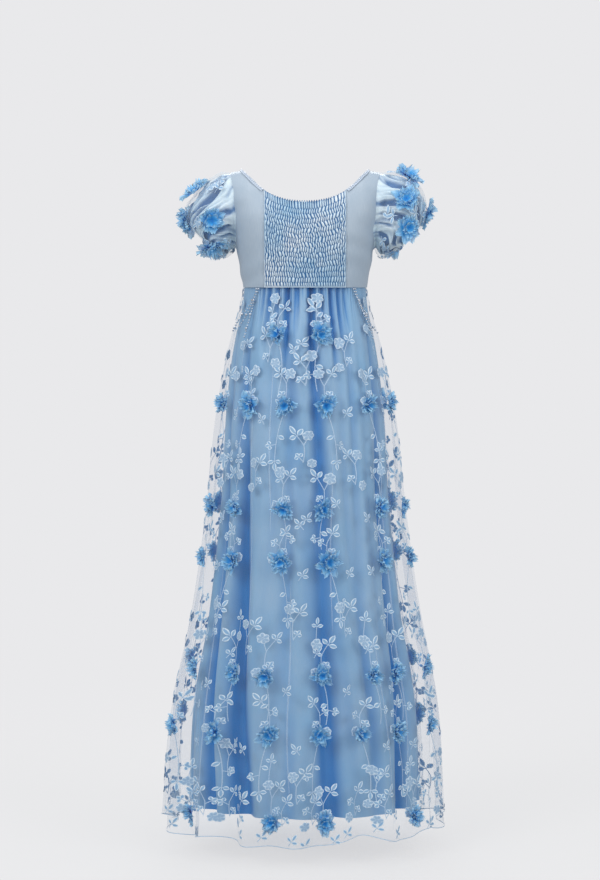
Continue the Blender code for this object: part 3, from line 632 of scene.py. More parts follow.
class Needle:
    """Collects leaves, petals and stems as flat shapes on a cloth measured in metres."""

    def __init__(self):
        self.leaves, self.petals, self.stems = [], [], []

    def leaf(self, place, heading, length, half_width):
        self.leaves.append((*place, heading, length, half_width))

    def flower(self, place, size, turn):
        """Six uneven petals round three small ones."""
        for step in range(6):
            heading = turn + math.tau * step / 6 + 0.3 * (uneven(turn * 3 + step) - 0.5)
            self.petals.append((*ahead(place, heading, 0.15 * size), heading,
                                size * (0.70 + 0.25 * uneven(turn + step)), size * 0.45))
        for step in range(3):
            heading = turn + 1 + math.tau * step / 3
            self.petals.append((*ahead(place, heading, -0.2 * size), heading,
                                size * 0.5, size * 0.2))

    def stem(self, place, heading, curl, length):
        """A curling stem. Gives the places along it and the heading at its end."""
        path = [place]
        for _ in range(max(2, int(length / STEM_STEP))):
            heading += curl
            self.stems.append((*path[-1], heading, STEM_STEP * 1.08, STEM_HALF_WIDTH))
            path.append(ahead(path[-1], heading, STEM_STEP))
        return path, heading

    def tip(self, place, heading, size):
        """Three leaves at the end of a stem, the two side ones from a little lower down."""
        self.leaf(place, heading, LEAF_LENGTH * size * 1.15, LEAF_HALF_WIDTH * size)
        for way, share in ((-1.30, 0.80), (1.20, 0.88)):
            self.leaf(ahead(place, heading, -0.002), heading + way,
                      LEAF_LENGTH * size * share, LEAF_HALF_WIDTH * size)

    def buds(self, place, heading, curl):
        """Three small round leaves on a short twig."""
        twig, end = self.stem(place, heading, curl, 0.018)
        for way in (-1.35, 0.0, 1.35):
            self.leaf(twig[-1], end + way, BUD_LENGTH, BUD_LENGTH * 0.36)


def spray(needle, seed, room_above, room_below):
    """What grows from a raised flower: buds and a forked stem above it, a trail below it."""
    up, side = math.pi / 2, (1 if uneven(seed) > 0.35 else -1)
    size = 0.85 + 0.2 * uneven(seed + 1)
    needle.buds((0.0, 0.012), up + 0.55 * side, 0.05 * side)
    trunk, heading = needle.stem((0.0, 0.010), up - 0.25 * side, 0.06 * side,
                                 min(0.030 + 0.016 * uneven(seed + 2), 0.30 * room_above))
    branch, end = needle.stem(trunk[-1], heading + 0.35 * side, 0.04 * side,
                              min(0.020 + 0.016 * uneven(seed + 3), 0.26 * room_above))
    needle.tip(branch[-1], end, size)
    if room_above > 0.13:
        other, end = needle.stem(trunk[-1], heading - 0.55 * side, 0.05 * side,
                                 0.014 + 0.010 * uneven(seed + 4))
        x, y = ahead(other[-1], end, 0.009)
        needle.flower((x, y), SEWN_PETAL * (0.9 + 0.2 * uneven(seed + 5)), seed * 1.3)
        if room_above > 0.18 and uneven(seed + 9) > 0.25:
            other, end = needle.stem((x, y + 0.008), up + 0.2 * (uneven(seed + 6) - 0.5),
                                     0.03 * side, 0.028 + 0.022 * uneven(seed + 7))
            needle.tip(other[-1], end, 0.8 * size)
    else:
        needle.buds(trunk[-2], heading - 1.0 * side, -0.05 * side)
    if uneven(seed + 11) > 0.45:
        needle.flower((0.016 * side, 0.008), SEWN_PETAL * 0.9, seed * 0.7)
    # A sprig that stands on its own beside the flower.
    sprig, end = needle.stem((-0.040 * side, -0.024 - 0.02 * uneven(seed + 12)),
                             up + 0.5 * side, 0.06 * side, 0.012)
    needle.tip(sprig[-1], end, 0.75)
    fall = room_below - 0.030
    if fall < 0.03:
        return
    trail, end = needle.stem((0.0, -0.010), -up - 0.35 * side, 0.55 * side / (fall / STEM_STEP),
                             min(fall, 0.11))
    if fall > 0.12:
        needle.tip(trail[-1], end, 0.9 * size)
    needle.leaf(trail[len(trail) // 2], -up + 1.1 * side, LEAF_LENGTH * 0.8,
                LEAF_HALF_WIDTH * size)
    if fall > 0.07:
        needle.buds(trail[2 * len(trail) // 3], -0.9 * math.pi if side > 0 else -0.1 * math.pi,
                    -0.08 * side)


leaf_shape, stem_shape = template(2, 6), template(1, 1)
leaf_across, leaf_along, _ = leaf_shape
stem_across, stem_along, _ = stem_shape
# How far aside each point lies, in half widths: a pointed oval on a stalk, and a round petal.
blade = np.clip((leaf_along - 0.16) / 0.84, 0, 1)
leaf_outline = (leaf_across * (0.14 + np.sin(np.pi * blade ** 0.85) ** 0.8)
                * np.where(leaf_along > 0.99, 0.1, 1))
petal_outline = leaf_across * np.sin(np.pi * np.clip(leaf_along, 0.06, 0.97)) ** 0.5
no_leaves = np.zeros((0, len(leaf_across), 3))


def sew(needle, place):
    """Leaves, petals and stems of a spray on the cloth, by a function that places flat points."""
    raised = 0.0005 * (1 - leaf_across ** 2) * np.sin(np.pi * leaf_along)
    sewn = []
    for shapes, along, outline, height in (
            (needle.leaves, leaf_along, leaf_outline, raised),
            (needle.petals, leaf_along, petal_outline, 2 * raised),
            (needle.stems, stem_along, stem_across, 0.0)):
        x, y, heading, length, half = np.array(shapes, float).reshape(-1, 5).T[:, :, None]
        forward, aside = along * length, outline * half
        sewn.append(place(x + forward * np.cos(heading) - aside * np.sin(heading),
                          y + forward * np.sin(heading) + aside * np.cos(heading),
                          THREAD_LIFT + height + 0 * forward))
    return sewn


def add_embroidery(word, sewn, flip=1.0):
    """The embroidery of one piece of net, as its leaves, its flowers and its stems."""
    leaves, petals, stems = (np.concatenate(kind) * flip for kind in zip(*sewn))
    made = [many(f"leaves_{word}", leaves, leaf_shape, thread_finish),
            many(f"sewn_flowers_{word}", petals, leaf_shape, flower_finish),
            many(f"stems_{word}", stems, stem_shape, flower_finish)]
    for piece in made:
        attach(piece, "root")
    return made


thread_finish = thread("pale_rayon_cord", THREAD, THREAD_SHADE)
flower_finish = thread("pale_rayon_fill", FLOWER_THREAD, FLOWER_SHADE)


def radius_at(z):
    """Metres along the skirt for one radian, so flat shapes keep their size."""
    half_width, back_depth, front_depth, _ = curve(SKIRT_SECTIONS, z)
    return (2 * half_width + back_depth + front_depth) / 4 * 1.08 + curve(NET_STAND_OFF, z)[0]


def on_net(angle, z):
    """A function that places flat points on the net's face, round this spot on it."""
    def place(x, y, lift):
        height = np.clip(y + z, NET_HEM_Z + 0.004, WAIST_Z - 0.002)
        return net_points(angle + np.degrees(x / radius_at(height)), height, lift)
    return place


SKIRT_FLOWERS = [
    # z, angles of the flowers on the back, number on the front
    (-0.347, (19.0, -10.0), 2),
    (-0.493, (66.0, 38.0, 12.0, -12.0, -45.0, -74.0), 4),
    (-0.708, (70.0, 45.0, 12.0, -10.0, -49.0, -76.0), 5),
    (-0.816, (72.0, 44.0, 13.0, -12.0, -48.0, -76.0), 5),
    (-1.049, (64.0, 37.0, 18.0, -8.0, -31.0, -47.0, -74.0), 6),
    (-1.170, (68.0, 42.0, 16.0, -6.0, -25.0, -43.0, -72.0), 6),
    (-1.350, (60.0, 14.0, -8.0, -52.0), 3),
]


def flower_angles(row, half):
    """Angles of a row's raised flowers on the back or the front."""
    _, back_angles, front_count = row
    spread = 160.0 / front_count
    return back_angles if half == "back" else [100.0 + spread * (step + 0.5)
                                               for step in range(front_count)]


for half in ("back", "front"):
    sprays = []
    for number, row in enumerate(SKIRT_FLOWERS):
        above = SKIRT_FLOWERS[number - 1][0] if number else WAIST_Z
        below = SKIRT_FLOWERS[number + 1][0] if number + 1 < len(SKIRT_FLOWERS) else NET_HEM_Z
        angles = sorted(flower_angles(row, half))
        for place, angle in enumerate(angles):
            sprays.append((angle, row[0], above - row[0], row[0] - below, number * 17 + place))
        # Where the rows are far apart, a spray without a raised flower grows in each gap.
        if above - row[0] > 0.14:
            for place, (first, second) in enumerate(zip(angles, angles[1:])):
                wander = 0.07 * (uneven(number * 5 + place) - 0.5)
                if second - first > 16.0:
                    sprays.append(((first + second) / 2, row[0] + 0.06 + wander, 0.14, 0.05,
                                   number * 29 + place + 400))
        if half == "front":
            for angle in SIDE_SEAM_ANGLES:
                sprays.append((angle, row[0] + 0.03, min(0.14, above - row[0]), 0.05,
                               number * 7 + angle + 900))
    for place, angle in enumerate(HEM_SPRAY_ANGLES[half]):
        lifted = NET_HEM_Z + hem_lift(angle) + 0.034
        sprays.append((angle, lifted, 0.10, 0.05, place * 13 + 700))
    sewn = []
    for angle, z, room_above, room_below, seed in sprays:
        needle = Needle()
        spray(needle, seed, room_above, room_below)
        sewn.append(sew(needle, on_net(angle, z)))
    for angle, z in SEAM_SPRAYS:
        if (abs(angle) < 90.0) == (half == "back"):
            needle = Needle()
            needle.flower((0.0, 0.0), SEWN_PETAL, angle)
            stalk, heading = needle.stem((0.0, -0.010), -1.3, -0.05, 0.045)
            for place, leaf_heading in ((3, 0.7), (5, 2.5)):
                needle.leaf(stalk[place], leaf_heading, LEAF_LENGTH * 0.8, LEAF_HALF_WIDTH)
            needle.tip(stalk[-1], heading, 0.8)
            sewn.append(sew(needle, on_net(angle, z)))
    # A rolled edge in the same thread closes the hem.
    angle = (-90.0 if half == "back" else 90.0) + np.linspace(0.3, 179.7, 320)
    rolled = np.array([net_points(angle, NET_HEM_Z + hem_lift(angle) + rise, THREAD_LIFT)
                       for rise in (0.0, HEM_ROLL)])
    starts = np.arange(len(angle) - 1)[:, None]
    hem = rolled[(stem_along > 0.5).astype(int), starts + (stem_across > 0)]
    sewn.append([no_leaves, no_leaves, hem])
    sewn_to_net[half] += add_embroidery(half, sewn)

# ================================================================ raised flowers of the skirt
# Three rings of heat-ruffled organza petals, deep blue at the heart and paler at the rim, each
# sewn to the net through its middle.

FLOWER_RADIUS = 0.0250
FLOWER_HEIGHT = 0.0120
FLOWER_SCALE, FLOWER_TILT = 0.94, 0.25          # on the skirt
PETAL_RINGS = [
    # petals, reach, half_width, height at the root and at the rim, as shares of the flower
    (8, 1.08, 0.36, 0.12, 0.50),
    (7, 0.80, 0.31, 0.22, 0.90),
    (6, 0.50, 0.25, 0.32, 1.15),
]
RUFFLE, CUPPING, RIM_WAVE, TWIST = 0.0046, 0.0018, 0.0026, 0.0065       # of a petal, at its rim
PETAL_HEART, PETAL_BLUE, PETAL_RIM = "#0C8AE0", "#3EACEE", "#B4E2FC"
ORGANZA_COVER = 0.82            # how much of what is behind it a petal hides


def organza(name, heart, middle, rim):
    """Crisp polyester organza, dyed deeper at the heart of the flower."""
    made, tree, shader = start_finish(name)
    uv = add_node(tree, "UVMap")
    parts = add_node(tree, "SeparateXYZ", {0: uv.outputs[0]})
    ramp = add_node(tree, "ValToRGB", {0: parts.outputs[1]})
    stops = ramp.color_ramp.elements
    stops[0].color, stops[1].color = linear(heart), linear(rim)
    stops[0].position = 0.05
    stops.new(0.45).color = linear(middle)
    set_inputs(shader, {"Base Color": ramp.outputs[0], "Alpha": ORGANZA_COVER,
                        "Roughness": 0.5, "Sheen Weight": 0.3})
    return made


def unit(vectors):
    """The same directions at a length of one."""
    return vectors / np.maximum(np.linalg.norm(vectors, axis=-1, keepdims=True), 1e-12)


def petals(centres, outs, first, scale, tilt):
    """Copies of the petal template for flowers at these centres, facing about these ways."""
    copies = []
    for number, (centre, out) in enumerate(zip(centres, outs), first):
        lean = uneven([number * 3 + 1, number * 5 + 2, number * 7 + 3]) - 0.5
        out = unit(unit(out) + tilt * lean)
        side = unit(np.cross(out, (0.0, 0.0, 1.0)))
        other = np.cross(out, side)
        radius = scale * FLOWER_RADIUS * (0.9 + 0.2 * uneven(number))
        for ring, (count, reach, half, root, rim) in enumerate(PETAL_RINGS):
            for step in range(count):
                seed = number * 37 + ring * 11 + step
                turn = math.tau * (step / count + 0.09 * uneven(seed)
                                   + uneven(number + 50 + ring))
                along_out = side * math.cos(turn) + other * math.sin(turn)
                across_out = np.cross(out, along_out)
                spread = np.sin(np.pi * (0.10 + 0.80 * petal_along)) ** 0.6
                ruffle = RUFFLE * np.sin(5.5 * petal_across + 6 * uneven(seed + 1)
                                         + 5.0 * petal_along)
                height = FLOWER_HEIGHT * (root + (rim - root) * petal_along ** 1.4
                                          * (0.35 + 1.2 * uneven(seed + 2)))
                height = height + ruffle * petal_along ** 2 + CUPPING * petal_across ** 2
                forward = radius * reach * petal_along * (0.65 + 0.55 * uneven(seed + 3))
                forward = forward * (1 - 0.12 * petal_across ** 2 * petal_along)
                forward = forward + RIM_WAVE * petal_along ** 3 * np.sin(8 * petal_across + seed)
                twist = TWIST * (uneven(seed + 4) - 0.5) * petal_along ** 2
                copies.append(centre + out * height[:, None] + along_out * forward[:, None]
                              + across_out * (petal_across * spread * half * radius
                                              + twist)[:, None])
    return np.array(copies)


petal_shape = template(6, 5)
petal_across, petal_along, _ = petal_shape
organza_finish = organza("blue_polyester_organza", PETAL_HEART, PETAL_BLUE, PETAL_RIM)
flower_number = 0
for half in ("back", "front"):
    angles, heights = np.array([(angle, row[0]) for row in SKIRT_FLOWERS
                                for angle in flower_angles(row, half)]).T
    centres = net_points(angles, heights)
    flowers = many(f"raised_flowers_{half}",
                   petals(centres, centres * (1.0, 1.0, 0.0), flower_number, FLOWER_SCALE,
                          FLOWER_TILT), petal_shape, organza_finish)
    flower_number += len(angles)
    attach(flowers, "root")
    width, length, area = NET_CUT[half]
    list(BODICE_OVER[half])
    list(sewn_to_net[half])

# ================================================================ shirred centre back
# Satin gathered on rows of elastic thread, so that it puckers between them, with a small frill
# left standing above the top row. It is sewn to the side backs along both edges.

PRINCESS_X = 0.0860         # seam between the shirred panel and a side back
BACK_NECK_DROP = 0.0760     # neckline below the shoulders at the centre back
SHOULDER_NECK_X = 0.1330    # inner end of the shoulder seam
NECK_CURVE = 2.2            # how square the scoop of the neckline is
SHOULDER_SLOPE = 0.17       # fall of the shoulder line beyond SLOPE_FROM_X
SLOPE_FROM_X = 0.1200
CUP_X, CUP_Z = 0.0700, -0.1750      # fullest point of the bust darts' ease
CUP_RADIUS, CUP_EASE = 0.0450, 0.0100
BODICE_SECTIONS = [
    # z, half_width, back_depth, front_depth, squareness
    (-0.2490, 0.1310, 0.0980, 0.1010, 2.30),
    (-0.2150, 0.1370, 0.1020, 0.1180, 2.40),
    (-0.1650, 0.1450, 0.1080, 0.1300, 2.60),
    (-0.1300, 0.1500, 0.1090, 0.1230, 2.80),
    (-0.0900, 0.1580, 0.1040, 0.1070, 3.00),
    (-0.0550, 0.1680, 0.0900, 0.0880, 3.00),
    (-0.0300, 0.1760, 0.0700, 0.0680, 3.00),
    (-0.0120, 0.1820, 0.0440, 0.0430, 2.80),
    (-0.0030, 0.1850, 0.0220, 0.0220, 2.60),
    (0.0000, 0.1860, 0.0002, 0.0002, 2.50),
]
SEAM_GAP = 0.0003           # between two pieces sewn to each other
SHIRR_PUFF = 0.0028         # height of a pucker
EDGE_TURN = 0.0014          # the panel's side edges stand up this far where they are turned in
ELASTIC_ROWS = 17
RIBS = 34
FRILL_HEIGHT = 0.0085           # at the middle, less at the corners
SHIRRED_CUT = (0.240, 0.200)
# The shirred satin's near-white colour is a painted highlight on the puckers' crests, and its deep
# blue a painted shade in their grooves.
SHIRRED_BLUE, SHIRRED_SHADE, SHIRRED_PAINTED_SHADE = "#FAFEFF", "#A8D2EC", "#005E98"


def neckline_z(x, drop):
    return -drop * (1.0 - np.minimum(1.0, np.abs(x) / SHOULDER_NECK_X) ** NECK_CURVE)


def on_body(x, z, front):
    """The angle round the body of the place at x and z on its front or its back."""
    half_width, _, _, squareness = curve(BODICE_SECTIONS, z)
    angle = np.degrees(np.arcsin(np.clip(np.abs(x) / half_width, 0, 1) ** (squareness / 2)))
    return np.copysign(np.where(front, 180.0 - angle, angle), x)


def bodice_points(angle, z):
    """Points of the bodice's outer face, eased over the bust and falling along the shoulders."""
    x, y = section_xy(BODICE_SECTIONS, angle, z)
    ease = CUP_EASE * bump(np.hypot(np.abs(x) - CUP_X, z - CUP_Z), CUP_RADIUS)
    y = np.where(np.abs(angle) > 90.0, y - ease, y)
    near_shoulder = np.clip((z + 0.14) / 0.10, 0, 1)
    fall = SHOULDER_SLOPE * np.maximum(0.0, np.abs(x) - SLOPE_FROM_X) * near_shoulder
    return np.stack([x, y, z - fall], -1)


panel, across, up = flat_cloth("shirred_back", *SHIRRED_CUT, 270, 168)
x = (PRINCESS_X - SEAM_GAP) * (2 * across - 1)
z = WAIST_Z + (neckline_z(x, BACK_NECK_DROP) - WAIST_Z) * up
column = np.floor(RIBS * across)
row = up * ELASTIC_ROWS + np.sin(np.pi * up) * (
    0.12 * np.sin(13 * across + 9 * up) + 0.50 * (uneven(column * 7 + 3) - 0.5))
band, in_band = np.floor(row), row - np.floor(row)
between_rows = np.sin(np.pi * in_band) ** 0.6
drift = (0.8 * uneven(band * 3 + 1) + 0.45 * np.sin(across * 11 + band * 2.1)
         + 0.22 * np.sin(across * 27 + band * 4.3) + 0.5 * np.sin(across * 5 + 2.0 * up))
lean = 0.6 * (in_band - 0.5) * np.where(band % 2, 1, -1) * (0.3 + 0.7 * uneven(band * 7))
rib = np.abs(np.sin(np.pi * (RIBS * across + drift + lean))) ** 1.5
size = 0.30 + 0.70 * uneven(np.floor(RIBS * across + drift) * 13 + band * 5)
sides = np.minimum(across, 1 - across)
edge = np.clip(sides / 0.02, 0, 1) * np.clip(up / 0.03, 0, 1)
lift = edge * SHIRR_PUFF * 1.35 * (0.25 * rib + 0.75 * rib * between_rows * size)
# Painted shade: full in the grooves between the puckers, none on their crests or at the panel's
# sides and foot.
fold_shade = edge * (1.22 - 1.80 * lift / SHIRR_PUFF)
lift = (lift + EDGE_TURN * bump(sides, 0.012)) * np.clip(sides / 0.005, 0, 1)
face = bodice_points(on_body(x, z, False), z)
points = face + unit(face * (0.35, 1.0, 0.0)) * lift[:, None]
frill = np.clip((row - (ELASTIC_ROWS - 0.5)) / 0.5, 0, 1) * edge
frill = frill * (0.2 + 0.8 * np.sin(np.pi * across))
points[:, 2] += FRILL_HEIGHT * frill * (0.75 + 0.25 * np.sin(math.tau * RIBS * across))
points[:, 1] += 0.0020 * frill * np.cos(math.tau * RIBS * across)
lay(panel, satin("shirred_polyester_satin", SHIRRED_BLUE, SHIRRED_SHADE, 0.3, SHIRRED_PAINTED_SHADE),
    points, fold_shade=fold_shade)
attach(panel, "root")
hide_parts("bodice_back_shirred")

# ================================================================ plain bodice
# Two side backs and one front of plain satin, cut on the straight grain. Long seams join them at
# the sides and shoulders, and the front is eased over the bust. A faint pull runs to each seam.

UNDERARM_Z = -0.1650
ARMHOLE = [
    # z, x
    (-0.1650, 0.1450),
    (-0.1300, 0.1455),
    (-0.0850, 0.1472),
    (-0.0550, 0.1490),
    (-0.0300, 0.1515),
    (-0.0120, 0.1550),
    (0.0000, 0.1575),
]
UNDERARM_LEVEL, CORNER_LEVEL, SHOULDER_LEVEL = 3, 8, 14     # rows of the panels, from the waist
FRONT_NECK_DROP = 0.1280    # and at the centre front
LEVEL_ROWS = 6                  # fine rows in each level
SIDE_ANGLE_FRONT, SIDE_ANGLE_BACK = 89.6, 90.0      # where the two meet at the side seam
SIDE_LAP = 0.0006               # the front lies this far under the back there
SIDE_BACK_TURN = (0.0036, 0.0010, 0.0)      # a side back's inner edge is turned in by this
SIDE_BACK_CUT, FRONT_CUT = (0.12, 0.30, 0.0225), (0.44, 0.30, 0.0735)
FRONT_MIDDLE_SIZE, FRONT_SIDE_SIZE = (0.19, 0.16), (0.105, 0.28)    # for the weave's scale
PULL_HEIGHT = 0.0009
# Satin colour, its streaks' colour, and a painted shade for folds, which this cloth is given
# nowhere.
BODICE_BLUE, BODICE_SHADE, BODICE_PAINTED_SHADE = "#B8C6D3", "#A6B8C9", "#8097B2"


def armhole_place(share, front):
    z = UNDERARM_Z * (1.0 + np.cos(np.pi * share)) / 2
    return on_body(curve(ARMHOLE, z)[0], z, front), z


def panel_edges(level, front):
    """Angle and height of a side panel's inner and outer edges at each level."""
    drop = FRONT_NECK_DROP if front else BACK_NECK_DROP
    low_z = WAIST_Z + (neckline_z(PRINCESS_X, drop) - WAIST_Z) * level / CORNER_LEVEL
    share = np.clip((level - CORNER_LEVEL) / (SHOULDER_LEVEL - CORNER_LEVEL), 0, 1)
    high_x = PRINCESS_X + (SHOULDER_NECK_X - PRINCESS_X) * np.sin(share * np.pi / 2)
    above = level > CORNER_LEVEL
    inner_x = np.where(above, high_x, PRINCESS_X)
    inner_z = np.where(above, neckline_z(high_x, drop), low_z)
    arm = np.clip((level - UNDERARM_LEVEL) / (SHOULDER_LEVEL - UNDERARM_LEVEL), 0, 1)
    arm_angle, arm_z = armhole_place(arm, front)
    side = level <= UNDERARM_LEVEL
    side_z = WAIST_Z + (UNDERARM_Z - WAIST_Z) * level / UNDERARM_LEVEL
    return (on_body(inner_x, inner_z, front), inner_z,
            np.where(side, SIDE_ANGLE_FRONT if front else SIDE_ANGLE_BACK, arm_angle),
            np.where(side, side_z, arm_z))


def side_panel(across, up, side, front):
    inner_angle, inner_z, outer_angle, outer_z = panel_edges(up * SHOULDER_LEVEL, front)
    points = bodice_points(inner_angle + (outer_angle - inner_angle) * across,
                           inner_z + (outer_z - inner_z) * across)
    if front:
        # Its side edge lies just under the back's, and its inner edge joins the middle.
        points[:, 0] -= SIDE_LAP * bump(1 - across, 0.03)
        points[:, 1] -= 2 * SEAM_GAP * (1 - across)
    else:
        # A side back's inner edge is turned in under the shirred panel's.
        points -= bump(across, 0.03)[:, None] * SIDE_BACK_TURN
    return points * (side, 1.0, 1.0)


def pulls(points):
    """Shallow slanting pulls in fitted cloth."""
    wave = np.sin(points[:, 2] * 92 + np.abs(points[:, 0]) * 60
                  + 2.0 * np.sin(points[:, 2] * 31 + points[:, 0] * 9))
    calm = np.clip(-points[:, 2] / 0.03, 0, 1)
    return points + unit(points * (0.6, 1.0, 0.0)) * (PULL_HEIGHT * wave * calm)[:, None]


bodice_finish = satin("bodice_polyester_satin", BODICE_BLUE, BODICE_SHADE, 0.5, BODICE_PAINTED_SHADE)
for side, word in ((1, "left"), (-1, "right")):
    back, across, up = flat_cloth(f"side_back_{word}", *SIDE_BACK_CUT[:2], 40,
                                  SHOULDER_LEVEL * LEVEL_ROWS)
    lay(back, bodice_finish, pulls(side_panel(across, up, side, False)
                                   + (side * SEAM_GAP, 0.0, 0.0)))
    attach(back, "root")
    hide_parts(f"bodice_side_back_{word}")

middle, across, up = flat_cloth("front_of_bodice", *FRONT_MIDDLE_SIZE, 60,
                                CORNER_LEVEL * LEVEL_ROWS)
x = PRINCESS_X * (2 * across - 1)
z = WAIST_Z + (neckline_z(x, FRONT_NECK_DROP) - WAIST_Z) * up
lay(middle, bodice_finish, pulls(bodice_points(on_body(x, z, True), z)
                                 - (0.0, 2 * SEAM_GAP, 0.0)))
straps = []
for side in (1, -1):
    strap, across, up = flat_cloth("front_side", *FRONT_SIDE_SIZE, 40,
                                   SHOULDER_LEVEL * LEVEL_ROWS)
    lay(strap, bodice_finish, pulls(side_panel(across, up, side, True)))
    straps.append(strap)
bpy.ops.object.select_all(action="DESELECT")
for part in (middle, *straps):
    part.select_set(True)
bpy.context.view_layer.objects.active = middle
bpy.ops.object.join()
merge_edges(middle.data, 1e-4)
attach(middle, "root")
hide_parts("bodice_front")

# ================================================================ bound neck
# A narrow folded tape on the neckline's edge, with a row of small pearls sewn along it.

BINDING_WIDTH = 0.0050
FOLD_RADIUS = 0.0016
TAPE_CUT = (0.72, 0.0150)       # before it is folded
TAPE_STEPS = 60                 # places along each side of the back, and on half of the front
# Satin colour, its streaks' colour, and a painted shade for folds, which the tape is given nowhere.
BINDING_WHITE, BINDING_SHADE, BINDING_PAINTED_SHADE = "#CBD7E6", "#BBCADD", "#9DB2CD"
PEARL_RADIUS, PEARL_STEP = 0.0013, 0.0058
PEARL_WHITE, PEARL_CLOUD = "#E9EDF4", "#B9C4D2"


def neckline_path(steps):
    """Places from one corner of the shirred panel to the other: x, z and if on the front."""
    start = PRINCESS_X + 5 * SEAM_GAP
    back_x = start + (SHOULDER_NECK_X - start) * np.sin(np.linspace(0, 1, steps) * np.pi / 2)
    turn = np.linspace(0, np.pi, 2 * steps)
    x = np.concatenate([back_x[:-1], SHOULDER_NECK_X * np.cos(turn), -back_x[-2::-1]])
    front = np.concatenate([np.zeros(steps - 1, bool), np.ones(2 * steps, bool),
                            np.zeros(steps - 1, bool)])
    drop = np.where(front, FRONT_NECK_DROP, BACK_NECK_DROP)
    return x, neckline_z(x, drop), front


def turned(vectors, towards):
    """The vectors, each reversed where it points away from `towards`."""
    return vectors * np.where((vectors * towards).sum(1, keepdims=True) < 0, -1.0, 1.0)


def neck_frame(steps):
    """Points of the neckline's edge, the direction off the cloth and the one away from it."""
    x, z, front = neckline_path(steps)
    z_in = np.minimum(z, -0.002)
    here = bodice_points(on_body(x, z_in, front), z_in)
    beside = bodice_points(on_body(x + 0.001, z_in, front), z_in) - here
    below = bodice_points(on_body(x, z_in - 0.001, front), z_in - 0.001) - here
    off = unit(np.cross(beside, below))
    off *= np.where(off[:, 1] * np.where(front, -1, 1) > 0, 1.0, -1.0)[:, None]
    for _ in range(4):
        off[1:-1] = (off[:-2] + 2 * off[1:-1] + off[2:]) / 4
    off = unit(off)
    points = bodice_points(on_body(x, z, front), z)
    points[:, 1] += np.where(front, -2, 2) * SEAM_GAP
    return points, off, turned(unit(np.cross(off, np.gradient(points, axis=0))), points)


def pearl_finish(name, colour, metal=0.0):
    """Coated glass with faint clouds, silver-lined where `metal` is high."""
    made, tree, shader = start_finish(name)
    place = add_node(tree, "TexCoord")
    clouds = add_node(tree, "TexNoise", {"Vector": place.outputs["Object"], "Scale": 400.0})
    mix = add_node(tree, "Mix", {0: clouds.outputs["Fac"], 6: linear(colour),
                                 7: linear(PEARL_CLOUD)}, data_type="RGBA")
    set_inputs(shader, {"Base Color": mix.outputs[2], "Roughness": 0.22, "Metallic": metal,
                        "Coat Weight": 0.4})
    return made


def beads(name, centres, radii, finish):
    """Round beads of these sizes as one mesh."""
    bpy.ops.mesh.primitive_ico_sphere_add(subdivisions=2, radius=1.0)
    ball, faces = take_shape()
    copies = centres[:, None] + ball * np.asarray(radii)[:, None, None]
    return many(name, copies, (ball[:, 0], ball[:, 1], faces), finish)


points, off, away = neck_frame(TAPE_STEPS)
tape, across, up = flat_cloth("neck_tape", *TAPE_CUT, len(points) - 1, 12)
index = np.rint(across * (len(points) - 1)).astype(int)
# The tape runs up the outside of the cloth, over its edge and down the inside.
flat_part = np.clip(np.maximum(0.4 - up, up - 0.6) / 0.4, 0, 1)
turn_over = np.pi * np.clip((up - 0.4) / 0.2, 0, 1)
from_edge = flat_part * BINDING_WIDTH - FOLD_RADIUS * np.sin(turn_over)
from_cloth = FOLD_RADIUS * np.cos(turn_over) + 0.0004 * np.sin(np.pi * flat_part)
lay(tape, satin("folded_satin_tape", BINDING_WHITE, BINDING_SHADE, 0.5, BINDING_PAINTED_SHADE),
    points[index] + away[index] * from_edge[:, None] + off[index] * from_cloth[:, None])
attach(tape, "root")
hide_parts("neck_binding")

lengths = np.concatenate([[0], np.cumsum(np.linalg.norm(np.diff(points, axis=0), axis=1))])
places = np.arange(0.002, lengths[-1], PEARL_STEP)
spots = np.stack([np.interp(places, lengths, (points + off * 0.0030 + away * 0.0012)[:, axis])
                  for axis in range(3)], -1)
neck_pearls = beads("neck_pearls", spots, np.full(len(spots), PEARL_RADIUS),
                    pearl_finish("glass_pearl", PEARL_WHITE))
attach(neck_pearls, "root")

# ================================================================ puff sleeves
# On each side a satin puff, pleated into the armhole and gathered at the cuff on elastic, and
# over it a looser puff of embroidered net with raised flowers.

SLEEVE_OUTLINES = {
    "left": [
        # top_x, top_z, low_x, low_z, half_deep
        (0.1780, -0.0040, 0.1500, -0.1720, 0.0640),
        (0.2050, -0.0200, 0.1580, -0.1820, 0.0740),
        (0.2320, -0.0440, 0.1680, -0.1870, 0.0790),
        (0.2530, -0.0760, 0.1800, -0.1850, 0.0740),
        (0.2560, -0.1060, 0.1880, -0.1800, 0.0590),
        (0.2400, -0.1270, 0.1900, -0.1750, 0.0380),
    ],
    "right": [
        (0.1800, -0.0040, 0.1500, -0.1780, 0.0640),
        (0.2120, -0.0100, 0.1580, -0.1870, 0.0750),
        (0.2400, -0.0280, 0.1680, -0.1880, 0.0800),
        (0.2560, -0.0620, 0.1810, -0.1840, 0.0750),
        (0.2580, -0.1000, 0.1880, -0.1780, 0.0600),
        (0.2400, -0.1300, 0.1910, -0.1750, 0.0380),
    ],
}
SLEEVE_SHIFT = 0.0008       # the sleeve's head clears the armhole by this, sideways
SATIN_PUFF_DEPTHS = (0.0024, 0.0060, 0.0075, 0.0075, 0.0070, 0.0060, 0.0024)    # by ring
SLEEVE_ALLOWANCE, ALLOWANCE_DEPTH = 0.0060, 0.0017      # turned in under the bodice's cloth
NET_CRUMPLE, SATIN_CRUMPLE = 0.0045, 0.0135             # depth of the creases
HEAD_PLEATS = 9             # creases that fan out from the sleeve's head
CUFF_GATHERS = 14
PLEAT_DEPTH = 0.0060
CUFF_GATHER_DEPTH = 0.0030
SPRAY_RING, SPRAY_TURN = 0.026, 0.075       # metres for one ring and for one radian of a puff
